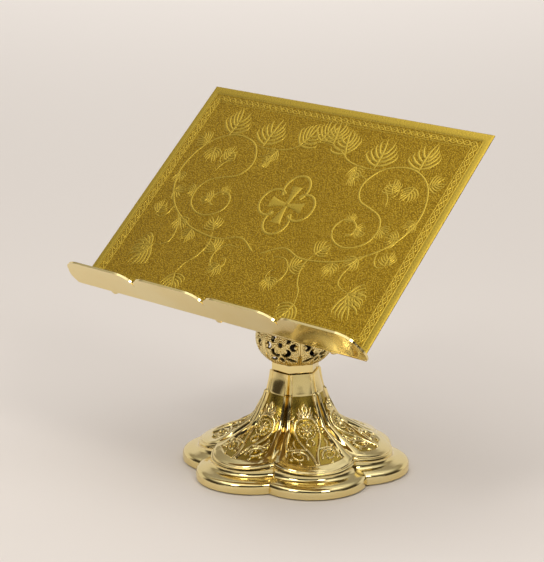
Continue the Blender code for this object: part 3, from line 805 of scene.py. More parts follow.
    def panel(self, lobe: int) -> None:
        """One relief panel laid in the recess of a lobe.

        The face is a fine grid of even rows; heights of the ornament and a small hammered waviness of
        the ground are set off along the normal. The back has only a few columns.

        Args:
            lobe: The lobe's number.
        """
        rows, cols, back_cols = 210, 121, 9
        line_up = spline(np.array(self.rise), 24)
        line_up = line_up[(line_up[:, 1] > self.panel_foot - 0.6) & (line_up[:, 1] < self.panel_head + 0.9)]
        rows_fine = even_steps(line_up, rows)
        share = np.linspace(-1.0, 1.0, cols)
        half = rows_fine[:, 2] * math.sin(HALF_LOBE) - self.rib_width(rows_fine[:, 1]) + 0.2
        limit = np.arcsin(np.clip(half / rows_fine[:, 0], 0.0, 1.0))
        turn = share[None, :] * limit[:, None]
        plain = self.place(rows_fine, turn, lobe)
        run = np.concatenate([[0.0], np.cumsum(np.linalg.norm(np.diff(plain[:, cols // 2], axis=0), axis=1))])
        radius = lobe_radius(rows_fine[:, [0]], rows_fine[:, [2]], turn)
        across, up = radius * np.sin(turn), np.broadcast_to(run[:, None], turn.shape)
        height = relief(across, up, self.ornament())
        height = np.maximum(height, self.rosette(across, up - self.rosette_up))
        hammered = 0.03 * np.sin(2.9 * across + 1.7 * np.sin(1.3 * up))
        hammered = hammered * np.sin(2.6 * up + 1.9 * np.sin(1.1 * across))
        fade = smoothstep(1 - np.abs(share), 0.0, 0.05)[None, :] * smoothstep(run[-1] - up, 0.4, 1.4)
        normal = surface_normals(plain)
        top = plain + normal * (-0.75 + (height + hammered) * fade * smoothstep(up, 0.3, 1.0))[..., None]
        picked = np.linspace(0, cols - 1, back_cols).astype(int)
        bottom = (plain - normal * 1.7)[:, picked]
        size, back_size = rows * cols, rows * back_cols
        front, back = quads(rows, cols), quads(rows, back_cols)[:, ::-1] + size
        down = np.arange(rows - 1)
        left = np.stack([down * cols, (down + 1) * cols, size + (down + 1) * back_cols,
                         size + down * back_cols], -1)
        right = np.stack([down * cols + cols - 1, size + down * back_cols + back_cols - 1,
                          size + (down + 1) * back_cols + back_cols - 1, (down + 1) * cols + cols - 1], -1)
        step = (cols - 1) // (back_cols - 1)
        fan = np.arange(back_cols - 1)[:, None] * step + np.arange(step + 1)[None, :]
        ends = np.arange(back_cols - 1)[:, None] + np.array([[1, 0]])
        low = np.concatenate([fan[:, ::-1], size + ends[:, ::-1]], 1)
        high = np.concatenate([size - cols + fan, size + back_size - back_cols + ends], 1)
        points = np.concatenate([top.reshape(-1, 3), bottom.reshape(-1, 3)])
        # Painted shade: the low ground between the ornament, and the hidden back, take the darker tone.
        ground = np.concatenate([1 - smoothstep(height * fade, 0.15, 0.75).ravel(), np.ones(back_size)])
        faces = [np.concatenate([front, back, left, right]), low, high]
        add_piece(f"foot_panel_{lobe + 1}", points * MM, faces, "root", RELIEF, (), 55.0, ground)

    def rosette(self, across: np.ndarray, up: np.ndarray) -> np.ndarray:
        """A small flower in a beaded ring.

        Eight petals follow the cosine of eight times the angle; twenty beads stand on the ring.
        """
        reach, angle = np.hypot(across, up), np.arctan2(up, across)
        petal = 1.3 * np.clip(1 - (reach / (4.9 + 1.0 * np.cos(8 * angle))) ** 2, 0, 1) ** 0.5
        petal *= 0.65 + 0.35 * np.cos(8 * angle)
        button = 1.5 * np.clip(1 - (reach / 1.7) ** 2, 0, 1) ** 0.5
        bead = 1.2 * np.clip(1 - ((reach - 7.5) / 0.95) ** 2, 0, 1) ** 0.5
        bead = bead * (0.62 + 0.38 * np.cos(20 * angle))
        return np.maximum(np.maximum(petal, button), bead)


# ---- turned and hexagonal pieces ------------------------------------------------------------------
@dataclass
class Turned:
    """A piece turned about an upright axis, or about any axis through a matrix."""

    name: str
    profile: tuple[tuple[float, float], ...]
    body: str
    stands_for: tuple[str, ...]
    finish: Finish = POLISHED
    closed: bool = False
    sides: int = 96
    round_by: float = 0.35
    flutes: int = 0
    flute_from: float = 99.0
    flute_depth: float = 0.6
    matrix: Matrix = field(default_factory=Matrix)

    def section(self) -> np.ndarray:
        """The profile with its corners rounded by short arcs, in millimetres.

        Each inner corner gives way to three points of a quadratic curve that leaves one side and
        joins the other at the rounding distance from the corner.
        """
        corners = np.array(self.profile, float)
        before, after = np.roll(corners, 1, 0), np.roll(corners, -1, 0)
        to_before, to_after = before - corners, after - corners
        long_before = np.linalg.norm(to_before, axis=1, keepdims=True)
        long_after = np.linalg.norm(to_after, axis=1, keepdims=True)
        reach = np.minimum(self.round_by, 0.45 * np.minimum(long_before, long_after))
        start, stop = corners + to_before / long_before * reach, corners + to_after / long_after * reach
        middle = 0.25 * start + 0.5 * corners + 0.25 * stop
        rounded = np.stack([start, middle, stop], 1).reshape(-1, 2)
        if self.closed:
            return rounded
        return np.vstack([corners[:1], rounded[3:-3], corners[-1:]])

    def build(self) -> bpy.types.Object:
        """Spin the section; open sections end on the axis and get a fan of triangles there."""
        section = self.section()
        angle = np.arange(self.sides) * 2 * math.pi / self.sides
        if not self.closed:
            section, poles = section[1:-1], section[[0, -1]]
        radius = np.broadcast_to(section[:, [0]], (len(section), self.sides)).copy()
        if self.flutes:
            wave = 0.5 - 0.5 * np.cos(self.flutes * angle)
            radius -= np.where(radius > self.flute_from, self.flute_depth, 0.0) * wave[None, :]
        points = np.stack([radius * np.cos(angle), radius * np.sin(angle),
                           np.broadcast_to(section[:, [1]], radius.shape)], -1).reshape(-1, 3)
        faces = [quads(len(section), self.sides, self.closed, True)]
        if not self.closed:
            count = len(points)
            points = np.vstack([points, [[0, 0, poles[0][1]], [0, 0, poles[1][1]]]])
            ring = np.arange(self.sides)
            last = ring + count - self.sides
            faces.append(np.stack([np.roll(ring, -1), ring, np.full(self.sides, count)], -1))
            faces.append(np.stack([last, np.roll(last, -1), np.full(self.sides, count + 1)], -1))
        turned = points * MM @ np.array(self.matrix.to_3x3()).T + np.array(self.matrix.translation)
        return add_piece(self.name, turned, faces, self.body, self.finish, self.stands_for, 38.0)


@dataclass(frozen=True)
class Opening:
    """A leaf-shaped hole: an ellipse with a round bite out of one side, in millimetres."""

    across: float
    up: float
    long: float
    short: float
    turn: float = 0.0
    bite: float = 0.0

    def mirrored(self) -> "Opening":
        """The hole on the other side of the panel's middle."""
        return Opening(-self.across, self.up, self.long, self.short, -self.turn, self.bite)

    def flipped(self) -> "Opening":
        """The hole above the girth that answers to one below it."""
        return Opening(self.across, -self.up, self.long, self.short, -self.turn, -self.bite)

    def distance(self, across: np.ndarray, up: np.ndarray) -> tuple[np.ndarray, np.ndarray]:
        """Rough distance from the hole's edge, below zero inside it, and the angle round it.

        The ellipse's share less one, times its half width; a bite keeps the points inside a circle
        that is set off to one side out of the hole.
        """
        cos, sin = math.cos(math.radians(self.turn)), math.sin(math.radians(self.turn))
        dx, dy = across - self.across, up - self.up
        along, aside = dx * cos + dy * sin, -dx * sin + dy * cos
        gap = (np.hypot(along / self.long, aside / self.short) - 1) * self.short
        if self.bite:
            gap = np.maximum(gap, 0.62 * self.long - np.hypot(along, aside - self.bite))
        return gap, np.arctan2(aside / self.short, along / self.long)


@dataclass
class Knop:
    """Pierced knop: six panels of beaded filigree round leaf-shaped holes, twin ribs between them."""

    radius: float = 33.8
    half_height: float = 25.4
    length: float = 40.0
    wall: float = 2.0
    rows: int = 112
    columns: int = 112
    turned_by: float = 22.4           # degrees from a lobe's middle to a panel's middle
    bead: float = 1.45                # pitch of the beads
    below: tuple[Opening, ...] = (
        Opening(5.2, -7.6, 5.0, 3.7, 48.0, 3.0), Opening(11.6, -0.8, 3.9, 3.3, 84.0, -3.0),
        Opening(9.2, -16.0, 4.8, 2.2, -30.0), Opening(0.0, -16.2, 2.1, 3.4, 0.0))

    def openings(self) -> list[Opening]:
        """Every hole of one panel."""
        found = list(self.below) + [hole.mirrored() for hole in self.below if hole.across]
        return found + [hole.flipped() for hole in found if hole.up < -3] + [Opening(0.0, 1.0, 2.0, 2.6)]

    def panel(self, number: int) -> None:
        """One sixth of the knop.

        A grid over a squashed sphere: the ring's radius is the cosine and the height the sine of a
        latitude that grows evenly with the distance along. Rows of beads follow each hole's edge, as
        a round section of the distance times a wave round the hole. Cells inside a hole are left out
        and the points next to its edge are drawn onto it.

        Args:
            number: The panel's number.
        """
        stretch = 29.5
        reach = math.asin(self.length / 2 / self.half_height) * stretch
        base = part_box("knop")[0].z / MM
        width = 2 * HALF_LOBE * self.radius
        up, across = np.meshgrid(np.linspace(-reach, reach, self.rows),
                                 np.linspace(-width / 2, width / 2, self.columns), indexing="ij")
        shrink = np.cos(up / stretch)
        gaps, angles = (np.stack(part) for part in zip(*[
            Opening(hole.across * math.cos(hole.up / stretch), hole.up, hole.long, hole.short, hole.turn,
                    hole.bite).distance(across * shrink, up) for hole in self.openings()]))
        nearest = gaps.argmin(0)[None]
        gap = np.take_along_axis(gaps, nearest, 0)[0]
        angle = np.take_along_axis(angles, nearest, 0)[0]
        slope_up, slope_across = np.gradient(gap, up[1, 0] - up[0, 0], across[0, 1] - across[0, 0])
        close = (np.abs(gap) < 0.34) & (np.abs(across) < width / 2 - 1.2) & (np.abs(up) < reach - 0.8)
        pull = np.where(close, gap, 0.0) / np.maximum(slope_up ** 2 + slope_across ** 2, 0.25)
        edge = (width / 2 - np.abs(across)) * shrink
        ring = np.floor(np.maximum(gap, 0.0) / self.bead)
        section = np.sqrt(np.clip(1 - ((gap - (ring + 0.5) * self.bead) / (0.52 * self.bead)) ** 2, 0.0, 1.0))
        count = np.round(2 * math.pi * (2.9 + (ring + 0.5) * self.bead) / self.bead)
        beads = 1.05 * section * (0.35 + 0.65 * np.abs(np.cos(count * angle / 2)))
        ribs = np.sqrt(np.clip(1 - ((edge - 0.85) / 0.8) ** 2, 0.0, 1.0)) * 1.05
        hoop = np.sqrt(np.clip(1 - ((reach - np.abs(up) - 1.1) / 1.1) ** 2, 0.0, 1.0)) * 0.8
        lift = np.maximum.reduce([np.where(edge > 1.7, beads, 0.0), ribs, hoop]) - 0.35
        up, across = up - pull * slope_up, across - pull * slope_across
        cells = quads(self.rows, self.columns)
        middle = gap.ravel()[cells].mean(1)
        rim_kept = (edge.ravel()[cells].min(1) < 1.6) | (reach - np.abs(up).ravel()[cells].max(1) < 1.4)
        front = cells[(middle > 0) | rim_kept]
        layers = []
        for height in (lift, np.full_like(lift, -self.wall)):
            latitude = up / stretch
            turn = across / self.radius + 2 * HALF_LOBE * number + math.radians(self.turned_by)
            spread = (self.radius + height) * np.cos(latitude)
            rise = base + self.length / 2 + (self.half_height + height) * np.sin(latitude)
            rise = np.clip(rise, base, base + self.length)
            layers.append(np.stack([spread * np.sin(turn), -spread * np.cos(turn), rise], -1).reshape(-1, 3))
        size = self.rows * self.columns
        edges = np.concatenate([front[:, [0, 1]], front[:, [1, 2]], front[:, [2, 3]], front[:, [3, 0]]])
        keys = np.sort(edges, 1) @ np.array([size, 1])
        _, first, counts = np.unique(keys, return_index=True, return_counts=True)
        rim = edges[first[counts == 1]]
        wall = np.stack([rim[:, 1], rim[:, 0], rim[:, 0] + size, rim[:, 1] + size], -1)
        faces = np.concatenate([front, front[:, ::-1] + size, wall])
        used, packed = np.unique(faces, return_inverse=True)
        stands_for = ("knop",) if number == 0 else ()
        # Painted shade: the inner wall takes the near-black inner tone, as the shade inside the knop.
        inside = (used >= size).astype(float)
        points = np.concatenate(layers)[used] * MM
        add_piece(f"knop_panel_{number + 1}", points, [packed.reshape(-1, 4)], "root", PIERCED, stands_for,
                  60.0, inside)

    def build(self) -> None:
        """All six panels."""
        for number in range(LOBES):
            self.panel(number)


# ---- desk -----------------------------------------------------------------------------------------
@dataclass
class Desk:
    """Etched desk plate with its scrollwork, and the folded ledge with three rivets."""

    slope: float = 0.0
    pivot: Vector = field(default_factory=Vector)

    def __post_init__(self) -> None:
        """Read the tilt axis and the slope from the frame."""
        joint = next(j for j in frame["joints"] if j["name"] == "desk_tilt")
        face = next(m for m in frame["record"]["mounts"] if m["name"] == "book_face")
        self.pivot = Vector(joint["pos_m"])
        self.slope = math.atan2(-face["axis"][1], face["axis"][2])

    def matrix(self) -> Matrix:
        """From the desk's own frame (X width, Y up the slope, Z out of the book face) to the row's."""
        return Matrix.Translation(self.pivot) @ Matrix.Rotation(self.slope, 4, "X")

    def to_row(self, points: np.ndarray) -> np.ndarray:
        """Points in millimetres in the desk's frame, as metres in the row frame."""
        matrix = np.array(self.matrix())
        return points.reshape(-1, 3) * MM @ matrix[:3, :3].T + matrix[:3, 3]

    def own_box(self, node: str) -> tuple[np.ndarray, np.ndarray]:
        """Lowest and highest corner of a CAD node in the desk's frame, in millimetres."""
        mesh = frame["nodes"][node].data
        points = np.empty(len(mesh.vertices) * 3)
        mesh.vertices.foreach_get("co", points)
        inverse = np.array(self.matrix().inverted())
        own = (points.reshape(-1, 3) @ inverse[:3, :3].T + inverse[:3, 3]) / MM
        return own.min(0), own.max(0)

    def build(self) -> None:
        """Plate, ornament, ledge and rivets."""
        plate = Plate(self)
        plate.build()
        Ledge(self).build()


@dataclass
class Plate:
    """The etched sheet: plain margin, knotwork border, stippled ground and scrolls."""

    desk: Desk
    taper: float = 5.3                # each side draws in by this much at the top
    margin: float = 7.0
    band: float = 8.5
    sunk: float = 0.14
    raised: float = 0.17

    def __post_init__(self) -> None:
        """Take the plate's size from the frame."""
        low, high = self.desk.own_box("desk_plate")
        self.half, self.foot, self.length = high[0], low[1], high[1] - low[1]
        self.front, self.back = high[2], low[2]

    def side(self, up: np.ndarray) -> np.ndarray:
        """Half width at a distance up from the lower edge."""
        return self.half - self.taper * up / self.length

    def sheet(self) -> None:
        """The sheet: a grid whose ground is sunk inside the margin, with eased edges.

        Columns and rows crowd at the edges; the ground falls by the etching depth over half a
        millimetre at the margin's inner line.
        """
        fringe = np.array([0.0, 0.35, 0.8, 2.0, 4.0, self.margin - 0.3, self.margin + 0.3])
        inner = np.linspace(self.margin + 1.0, self.half - 0.5, 70)
        x_in = np.concatenate([fringe, inner])
        share = np.concatenate([-(self.half - x_in), (self.half - x_in)[::-1]]) / self.half
        y_in = np.concatenate([fringe, np.linspace(self.margin + 1.0, self.length / 2, 40)])
        up = np.concatenate([y_in, (self.length - y_in)[::-1][1:]])
        grid_up, grid_share = np.meshgrid(up, share, indexing="ij")
        across = grid_share * self.side(grid_up)
        rim = np.minimum.reduce([self.side(grid_up) - np.abs(across), grid_up, self.length - grid_up])
        ground = smoothstep(rim, self.margin - 0.3, self.margin + 0.3)
        ease = 0.3 * (1 - np.sqrt(np.clip(1 - (1 - np.clip(rim / 0.8, 0, 1)) ** 2, 0, 1)))
        top = np.stack([across, grid_up + self.foot, self.front - self.sunk * ground - ease], -1)
        bottom = np.stack([across, grid_up + self.foot, self.back + ease], -1)
        points, faces = slab(top, bottom)
        paint = np.concatenate([ground.ravel(), np.full(ground.size, 2.0)])
        add_piece("desk_sheet", self.desk.to_row(points), faces, "desk", ETCHED, ("desk_plate",), 45.0, paint)

    def ribbons(self, name: str, strokes: list[Stroke], samples: int, flat: float = 0.8) -> None:
        """Lay strokes on the ground as low rounded ribbons.

        The section is half a superellipse: the height is the sine of the angle to the power flat.

        Args:
            name: The piece's name.
            strokes: Strokes in millimetres from the middle of the lower edge.
            samples: Points along each stroke.
            flat: Below one makes the top flatter.
        """
        ring = 6
        turn = np.linspace(0, math.pi, ring)
        points, ground = [], self.front - self.sunk
        for stroke in strokes:
            path = even_steps(stroke.path, samples)
            ahead = np.gradient(path, axis=0)
            ahead /= np.maximum(np.linalg.norm(ahead, axis=1, keepdims=True), 1e-9)
            normal = np.stack([-ahead[:, 1], ahead[:, 0]], -1)
            share = stroke.shares(samples)
            width = (stroke.half_width * share)[:, None] * np.cos(turn)[None, :]
            lift = (stroke.height * np.minimum(1.0, 0.35 + share))[:, None] * np.sin(turn)[None, :] ** flat
            spot = path[:, None, :] + normal[:, None, :] * width[..., None]
            points.append(np.stack([spot[..., 0], spot[..., 1] + self.foot, ground - 0.05 + lift], -1))
        base = np.concatenate([quads(samples, ring, False, True),
                               np.array([[0, 5, 4, 1], [1, 4, 3, 2]]),
                               np.array([[0, 1, 4, 5], [1, 2, 3, 4]]) + (samples - 1) * ring])
        faces = (base[None] + (np.arange(len(strokes)) * samples * ring)[:, None, None]).reshape(-1, 4)
        cloud = np.concatenate([part.reshape(-1, 3) for part in points])
        add_piece(name, self.desk.to_row(cloud), [faces], "desk", ETCHED, (), 60.0, np.zeros(len(cloud)))

    def border(self) -> list[Stroke]:
        """Two plain lines and a two-strand knot between them, along all four sides."""
        strokes = []
        inset = self.margin
        corners = self.frame_corners(inset + 0.6), self.frame_corners(inset + self.band)
        for ring in corners:
            for start, stop in zip(ring, np.roll(ring, -1, 0)):
                strokes.append(Stroke(np.linspace(start, stop, 4), 0.38, self.raised, Taper.EVEN))
        ring = self.frame_corners(inset + 0.6 + self.band / 2 - 0.2)
        for start, stop in zip(ring, np.roll(ring, -1, 0)):
            length = np.linalg.norm(stop - start)
            turns = round(length / 7.2)
            t = np.linspace(0, 1, turns * 10 + 1)
            ahead = (stop - start) / length
            aside = np.array([-ahead[1], ahead[0]])
            for sign in (-1, 1):
                wave = sign * 2.3 * np.sin(math.pi * turns * t)
                path = start + np.outer(t, stop - start) + np.outer(wave, aside)
                strokes.append(Stroke(path, 0.55, self.raised, Taper.EVEN))
        return strokes

    def frame_corners(self, inset: float) -> np.ndarray:
        """Corners of a frame line at a distance in from the plate's edges."""
        low, high = inset, self.length - inset
        return np.array([(-(self.side(low) - inset), low), (self.side(low) - inset, low),
                         (self.side(high) - inset, high), (-(self.side(high) - inset), high)])

    def beads(self) -> list[Stroke]:
        """Small pearls in the eyes of the border knot."""
        strokes = []
        ring = self.frame_corners(self.margin + 0.4 + self.band / 2)
        for start, stop in zip(ring, np.roll(ring, -1, 0)):
            length = np.linalg.norm(stop - start)
            turns = round(length / 7.2)
            ahead = (stop - start) / length
            for index in range(turns):
                centre = start + ahead * length * (index + 0.5) / turns
                strokes.append(Stroke(np.stack([centre - ahead * 0.9, centre + ahead * 0.9]), 0.75,
                                      self.raised, Taper.BOTH))
        return strokes

    def scrolls(self) -> list[Stroke]:
        """The vine of one half, mirrored: a great loop that winds into two spirals, and leaves."""
        high = self.raised
        half = [
            line([(5, 66), (26, 76), (50, 70), (84, 74), (106, 83), (121, 92.5), (134, 107), (141, 126),
                  (138, 146), (127, 163), (109, 172.5), (91, 173), (75, 167), (66, 155), (65.5, 144),
                  (73, 134), (88, 129), (101, 123.5), (108, 113), (106, 100), (96, 91.5), (82, 89),
                  (69, 94), (63, 103), (66, 112), (75, 115.5), (84, 111), (85, 103), (79, 100)], 0.95, high,
                 Taper.EVEN),
            line([(75, 167), (60, 166), (46, 167), (34, 170), (24, 176), (12, 181), (0, 182.5)], 0.8, high),
            line([(8, 65), (14, 58), (12, 46), (20, 66), (34, 66.5), (43, 58), (42, 47), (34, 42), (26, 46),
                  (27, 53), (33, 54)][3:], 0.8, high),
            line([(121, 92.5), (108, 82), (101, 68), (101, 57), (108, 52), (116, 50)], 0.8, high),
            line([(121, 92.5), (123, 83), (129, 78), (136, 80)], 0.7, high),
            line([(60, 76), (56, 64), (60, 50), (68, 40), (72, 28)], 0.75, high),
            volute(98, 148, 9.5, 160, -1.2, 0.7, high), volute(94, 105, 5.0, 90, 1.2, 0.6, high),
            line([(101, 134), (98, 142), (90, 150)], 0.7, high),
            line([(66, 155), (56, 158), (50, 152), (47, 156)], 0.65, high)]
        sprays = [(112, 172, 8, 26, 0.25), (66, 167, 2, 27, -0.1), (28, 174, 30, 24, 0.2),
                  (8, 182, 14, 22, 0.0), (130, 160, -60, 15, 0.2), (46, 167, -150, 14, 0.2),
                  (100, 146, 30, 15, 0.2), (84, 106, -80, 12, 0.2), (76, 112, 20, 10, 0.1),
                  (116, 50, -140, 25, 0.1), (116, 50, -100, 20, 0.2), (136, 80, 10, 14, 0.2),
                  (72, 30, 160, 20, 0.1), (43, 58, -50, 16, 0.2), (30, 48, -160, 14, -0.2),
                  (60, 76, -30, 16, 0.2), (106, 83, 150, 15, 0.2), (140, 126, 150, 12, 0.1),
                  (108, 113, -120, 12, -0.2), (47, 156, -120, 12, 0.2), (84, 74, -170, 14, 0.2),
                  (118, 158, 170, 16, 0.2), (134, 107, 100, 14, 0.2)]
        for across, up, turn, size, curl in sprays:
            half += [stroke.moved(across, up, turn) for stroke in leaf(1.15 * size, 4, high, curl)]
        return both_sides(half)

    def emblem(self) -> list[Stroke]:
        """A plain cross with flared arms inside a quatrefoil."""
        strokes = []
        for turn in (0, 90, 180, 270):
            arm = Stroke(np.array([(0.0, 1.0), (0.0, 9.0), (0.0, 19.0)]), 6.2, self.raised + 0.04,
                         Taper.FLARE)
            strokes.append(arm.moved(0, 116, turn))
            t = np.radians(np.linspace(-42, 222, 40))
            arc = np.stack([13.5 * np.cos(t), 17.0 + 13.5 * np.sin(t)], -1)
            lobe = Stroke(arc, 1.3, self.raised, Taper.EVEN)
            strokes.append(lobe.moved(0, 116, turn))
        return strokes

    def build(self) -> None:
        """Sheet, border, vine and emblem."""
        self.sheet()
        self.ribbons("desk_border_lines", self.border()[:8], 4)
        self.ribbons("desk_border_knot", self.border()[8:], 420)
        self.ribbons("desk_border_pearls", self.beads(), 7)
        vine = self.scrolls()
        self.ribbons("desk_vine", [stroke for stroke in vine if len(stroke.path) > 60], 220)
        self.ribbons("desk_leaves", [stroke for stroke in vine if len(stroke.path) <= 60], 26)
        self.ribbons("desk_emblem", self.emblem(), 40, 0.25)


@dataclass
class Ledge:
    """One folded sheet: a fixing flange behind the plate and a notched lip in front."""

    desk: Desk
    thickness: float = 1.9
    lean: float = math.radians(4.3)
    notch_half: float = 18.5
    notch_depth: float = 12.5
    bend: float = 1.1
    flange_half: float = 165.0
    flare: float = 3.2

    def __post_init__(self) -> None:
        """Take the ledge's size from the frame."""
        low, high = self.desk.own_box("ledge")
        self.half = high[0] - 3.5
        self.low, self.high = low, high
        self.rise = 31.9

    def top(self, across: np.ndarray) -> np.ndarray:
        """Height of the lip's upper edge along the ledge.

        It is level, and falls to each notch and each end as a quarter of an ellipse, so that a notch
        is the V between two rounded shoulders.
        """
        spacing = self.half / 2
        gap = np.abs(across[:, None] - np.arange(-2, 3)[None, :] * spacing).min(1)
        inside = np.clip(1 - gap / self.notch_half, 0.0, 1.0)
        return self.rise - self.notch_depth * (1 - np.sqrt(1 - inside ** 2))

    def stations(self) -> np.ndarray:
        """Places along the ledge, crowded at the notches and the ends."""
        spacing = self.half / 2
        near = self.notch_half * (1 - np.cos(np.linspace(0, math.pi / 2, 15)))
        near = np.concatenate([near, [self.notch_half + 3, spacing / 2]])
        marks = [centre * spacing + sign * near for centre in range(-2, 3) for sign in (-1, 1)]
        marks = np.unique(np.round(np.concatenate(marks), 4))
        return marks[np.abs(marks) <= self.half + 1e-6]

    def build(self) -> None:
        """The sheet's middle surface with a wall, then its rivets.

        The section runs along the flange, round the bend and up the lip. The lip's share of the
        height at each place along ends on the notched upper edge.
        """
        across = self.stations()
        fold = math.pi / 2 - self.lean
        half = self.thickness / 2
        corner_y, corner_z = self.low[1] + half, self.low[2] + half
        flange = np.linspace(16.0, self.bend * math.tan(fold / 2) + 0.3, 6)
        angles = np.linspace(0, fold, 7)
        centre = np.array([self.bend * math.tan(fold / 2), self.bend])
        bend = np.stack([centre[0] - self.bend * np.sin(angles), centre[1] - self.bend * np.cos(angles)], -1)
        start_lip = self.bend * math.tan(fold / 2)
        share = np.linspace(0, 1, 22)[1:]
        reach = self.top(across) - start_lip - half
        climb = start_lip + share[:, None] * reach[None, :]
        lip = np.stack([climb * math.sin(self.lean), climb * math.cos(self.lean)], -1)
        rows_low = np.concatenate([np.stack([flange, 0 * flange], -1), bend])
        section = np.concatenate([np.repeat(rows_low[:, None], len(across), 1), lip])
        height = np.concatenate([np.zeros((len(rows_low), len(across))), climb])
        end = np.clip((np.abs(across) - (self.half - 12)) / 12, 0, 1)[None, :]
        low_edge = self.rise - self.notch_depth
        swell = self.flare * np.sin(math.pi * np.clip(height / low_edge, 0, 1))
        swell = swell * end * np.sign(across)[None, :]
        narrow = np.concatenate([np.ones(len(flange)), np.linspace(1.0, 0.0, len(bend)), np.zeros(len(lip))])
        trim = 1 - narrow[:, None] * (1 - self.flange_half / self.half)
        grid = np.stack([across[None, :] * trim + swell, section[..., 0] + corner_y,
                         section[..., 1] + corner_z], -1)
        normal = surface_normals(grid)
        points, faces = slab(grid + normal * half, grid - normal * half)
        made = add_piece("ledge_fold", self.desk.to_row(points), faces, "desk", POLISHED, ("ledge",), 35.0)
        ease_edges(made, 0.00045, 50)
        self.rivets()

    def rivets(self) -> None:
        """Flat-headed rivets behind the plate."""
        for index in (1, 2, 3):
            low, high = self.desk.own_box(f"ledge_rivet_{index}")
            centre = (low + high) / 2
            radius = (high[0] - low[0]) / 2
            profile = [(0.0, low[2]), (radius - 1.2, low[2]), (radius, low[2] + 1.0), (radius, low[2] + 5.0),
                       (2.0, low[2] + 5.0), (2.0, high[2]), (0.0, high[2])]
            matrix = self.desk.matrix() @ Matrix.Translation((centre[0] * MM, centre[1] * MM, 0))
            Turned(f"ledge_rivet_head_{index}", tuple(profile), "desk", (f"ledge_rivet_{index}",), sides=40,
                   round_by=0.2, matrix=matrix).build()


# ---- column, swivel head and hidden pieces --------------------------------------------------------
LOCK_HEIGHT = 0.166               # axis of the swivel lock screw
PIVOT_HEIGHT = 0.205              # axis of the desk's tilt
ALONG_X = Matrix.Rotation(math.pi / 2, 4, "Y")
ALONG_Y = Matrix.Rotation(-math.pi / 2, 4, "X")


@dataclass
class Column:
    """Collars, core tube, stem and the knurled screws."""

    def hexagon(self) -> None:
        """Hexagonal collar with a fine bevel, from two six-sided rings about its bore."""
        low, high = (corner.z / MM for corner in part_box("hex_collar"))
        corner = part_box("hex_collar")[1].x / MM
        angle = np.arange(LOBES) * 2 * HALF_LOBE
        ring = np.stack([np.cos(angle), np.sin(angle), 0 * angle], -1)
        up = np.array([0.0, 0.0, 1.0])
        ease = 0.45
        rows = [ring * 4.6 + up * low, ring * (corner - ease) + up * low, ring * corner + up * (low + ease),
                ring * corner + up * (high - ease), ring * (corner - ease) + up * high, ring * 4.6 + up * high]
        faces = [quads(len(rows), LOBES, True, True)]
        made = add_piece("collar_hexagon", np.concatenate(rows) * MM, faces, "root", POLISHED,
                         ("hex_collar",), 20.0)
        ease_edges(made, 0.0003, 40)

    def build(self) -> None:
        """Every turned piece of the column."""
        self.hexagon()
        low, high = (corner.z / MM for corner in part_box("knop_core_tube"))
        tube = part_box("knop_core_tube")[1].x / MM
        # The core tube is painted near black, as the shade inside the hollow knop.
        Turned("core_tube", ((tube - 2, low), (tube, low), (tube, high), (tube - 2, high)), "root",
               ("knop_core_tube",), SHADE_DARK_STEEL, True).build()
        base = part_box("upper_collar")[0].z / MM
        Turned("collar_moulding", ((4.6, base), (19.0, base), (20.0, base + 1.0), (19.4, base + 2.4),
                                   (17.4, base + 3.0), (16.4, base + 3.6), (14.4, base + 4.4),
                                   (13.5, base + 5.4), (13.5, base + 6.2), (4.6, base + 6.2)), "root",
               ("upper_collar",), closed=True).build()
        foot, top = (corner.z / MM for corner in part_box("stem"))
        Turned("stem_column", ((0.0, 151.0), (4.3, 151.0), (4.3, foot), (13.0, foot), (13.0, foot + 1.6),
                               (12.2, foot + 2.4), (11.0, foot + 3.4), (10.4, 147.5), (10.6, 149.2),
                               (11.6, 149.6), (12.3, 150.8), (12.3, 152.2), (11.6, 153.4), (11.0, 154.2),
                               (11.0, top - 6.0), (11.8, top - 5.2), (13.5, top - 4.0), (13.5, top),
                               (6.0, top), (6.0, 153.5), (0.0, 153.5)), "root", ("stem",)).build()
        lock = Matrix.Translation((0, 0, LOCK_HEIGHT)) @ ALONG_Y
        Turned("lock_thumbscrew", ((0.0, 4.6), (2.0, 4.6), (2.0, 11.6), (4.2, 11.6), (4.2, 14.5), (7.4, 15.2),
                                   (8.0, 15.8), (8.0, 19.2), (7.2, 20.4), (4.0, 21.4), (0.0, 21.6)),
               "lock_screw", ("swivel_lock_screw",), flutes=30, flute_from=6.9, sides=240, matrix=lock).build()
        nut = Matrix.Translation((0, 0, PIVOT_HEIGHT)) @ ALONG_X
        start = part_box("tilt_thumb_nut")[0].x / MM
        Turned("tilt_knob", ((0.0, 24.6), (3.3, 24.6), (3.3, start), (6.0, start), (6.0, start + 2.0),
                             (9.2, start + 2.8), (10.0, start + 3.6), (10.0, start + 9.8), (9.2, start + 11.2),
                             (8.0, start + 12.4), (4.0, start + 13.7), (0.0, start + 14.0)), "tilt_nut",
               ("tilt_thumb_nut",), flutes=36, flute_from=8.5, sides=288, matrix=nut).build()


def dress_cad_nodes() -> None:
    """Give every carried-over CAD node its finish."""
    finishes = {finish.slot: finish for finish in (POLISHED, ETCHED, STEEL, FELT, FIBRE)}
    slots = {part["node"]: part["material_slot"] for part in frame["record"]["subparts"]}
    for name, node in frame["nodes"].items():
        node.data.materials.clear()
        node.data.materials.append(finishes[slots[name]].material())


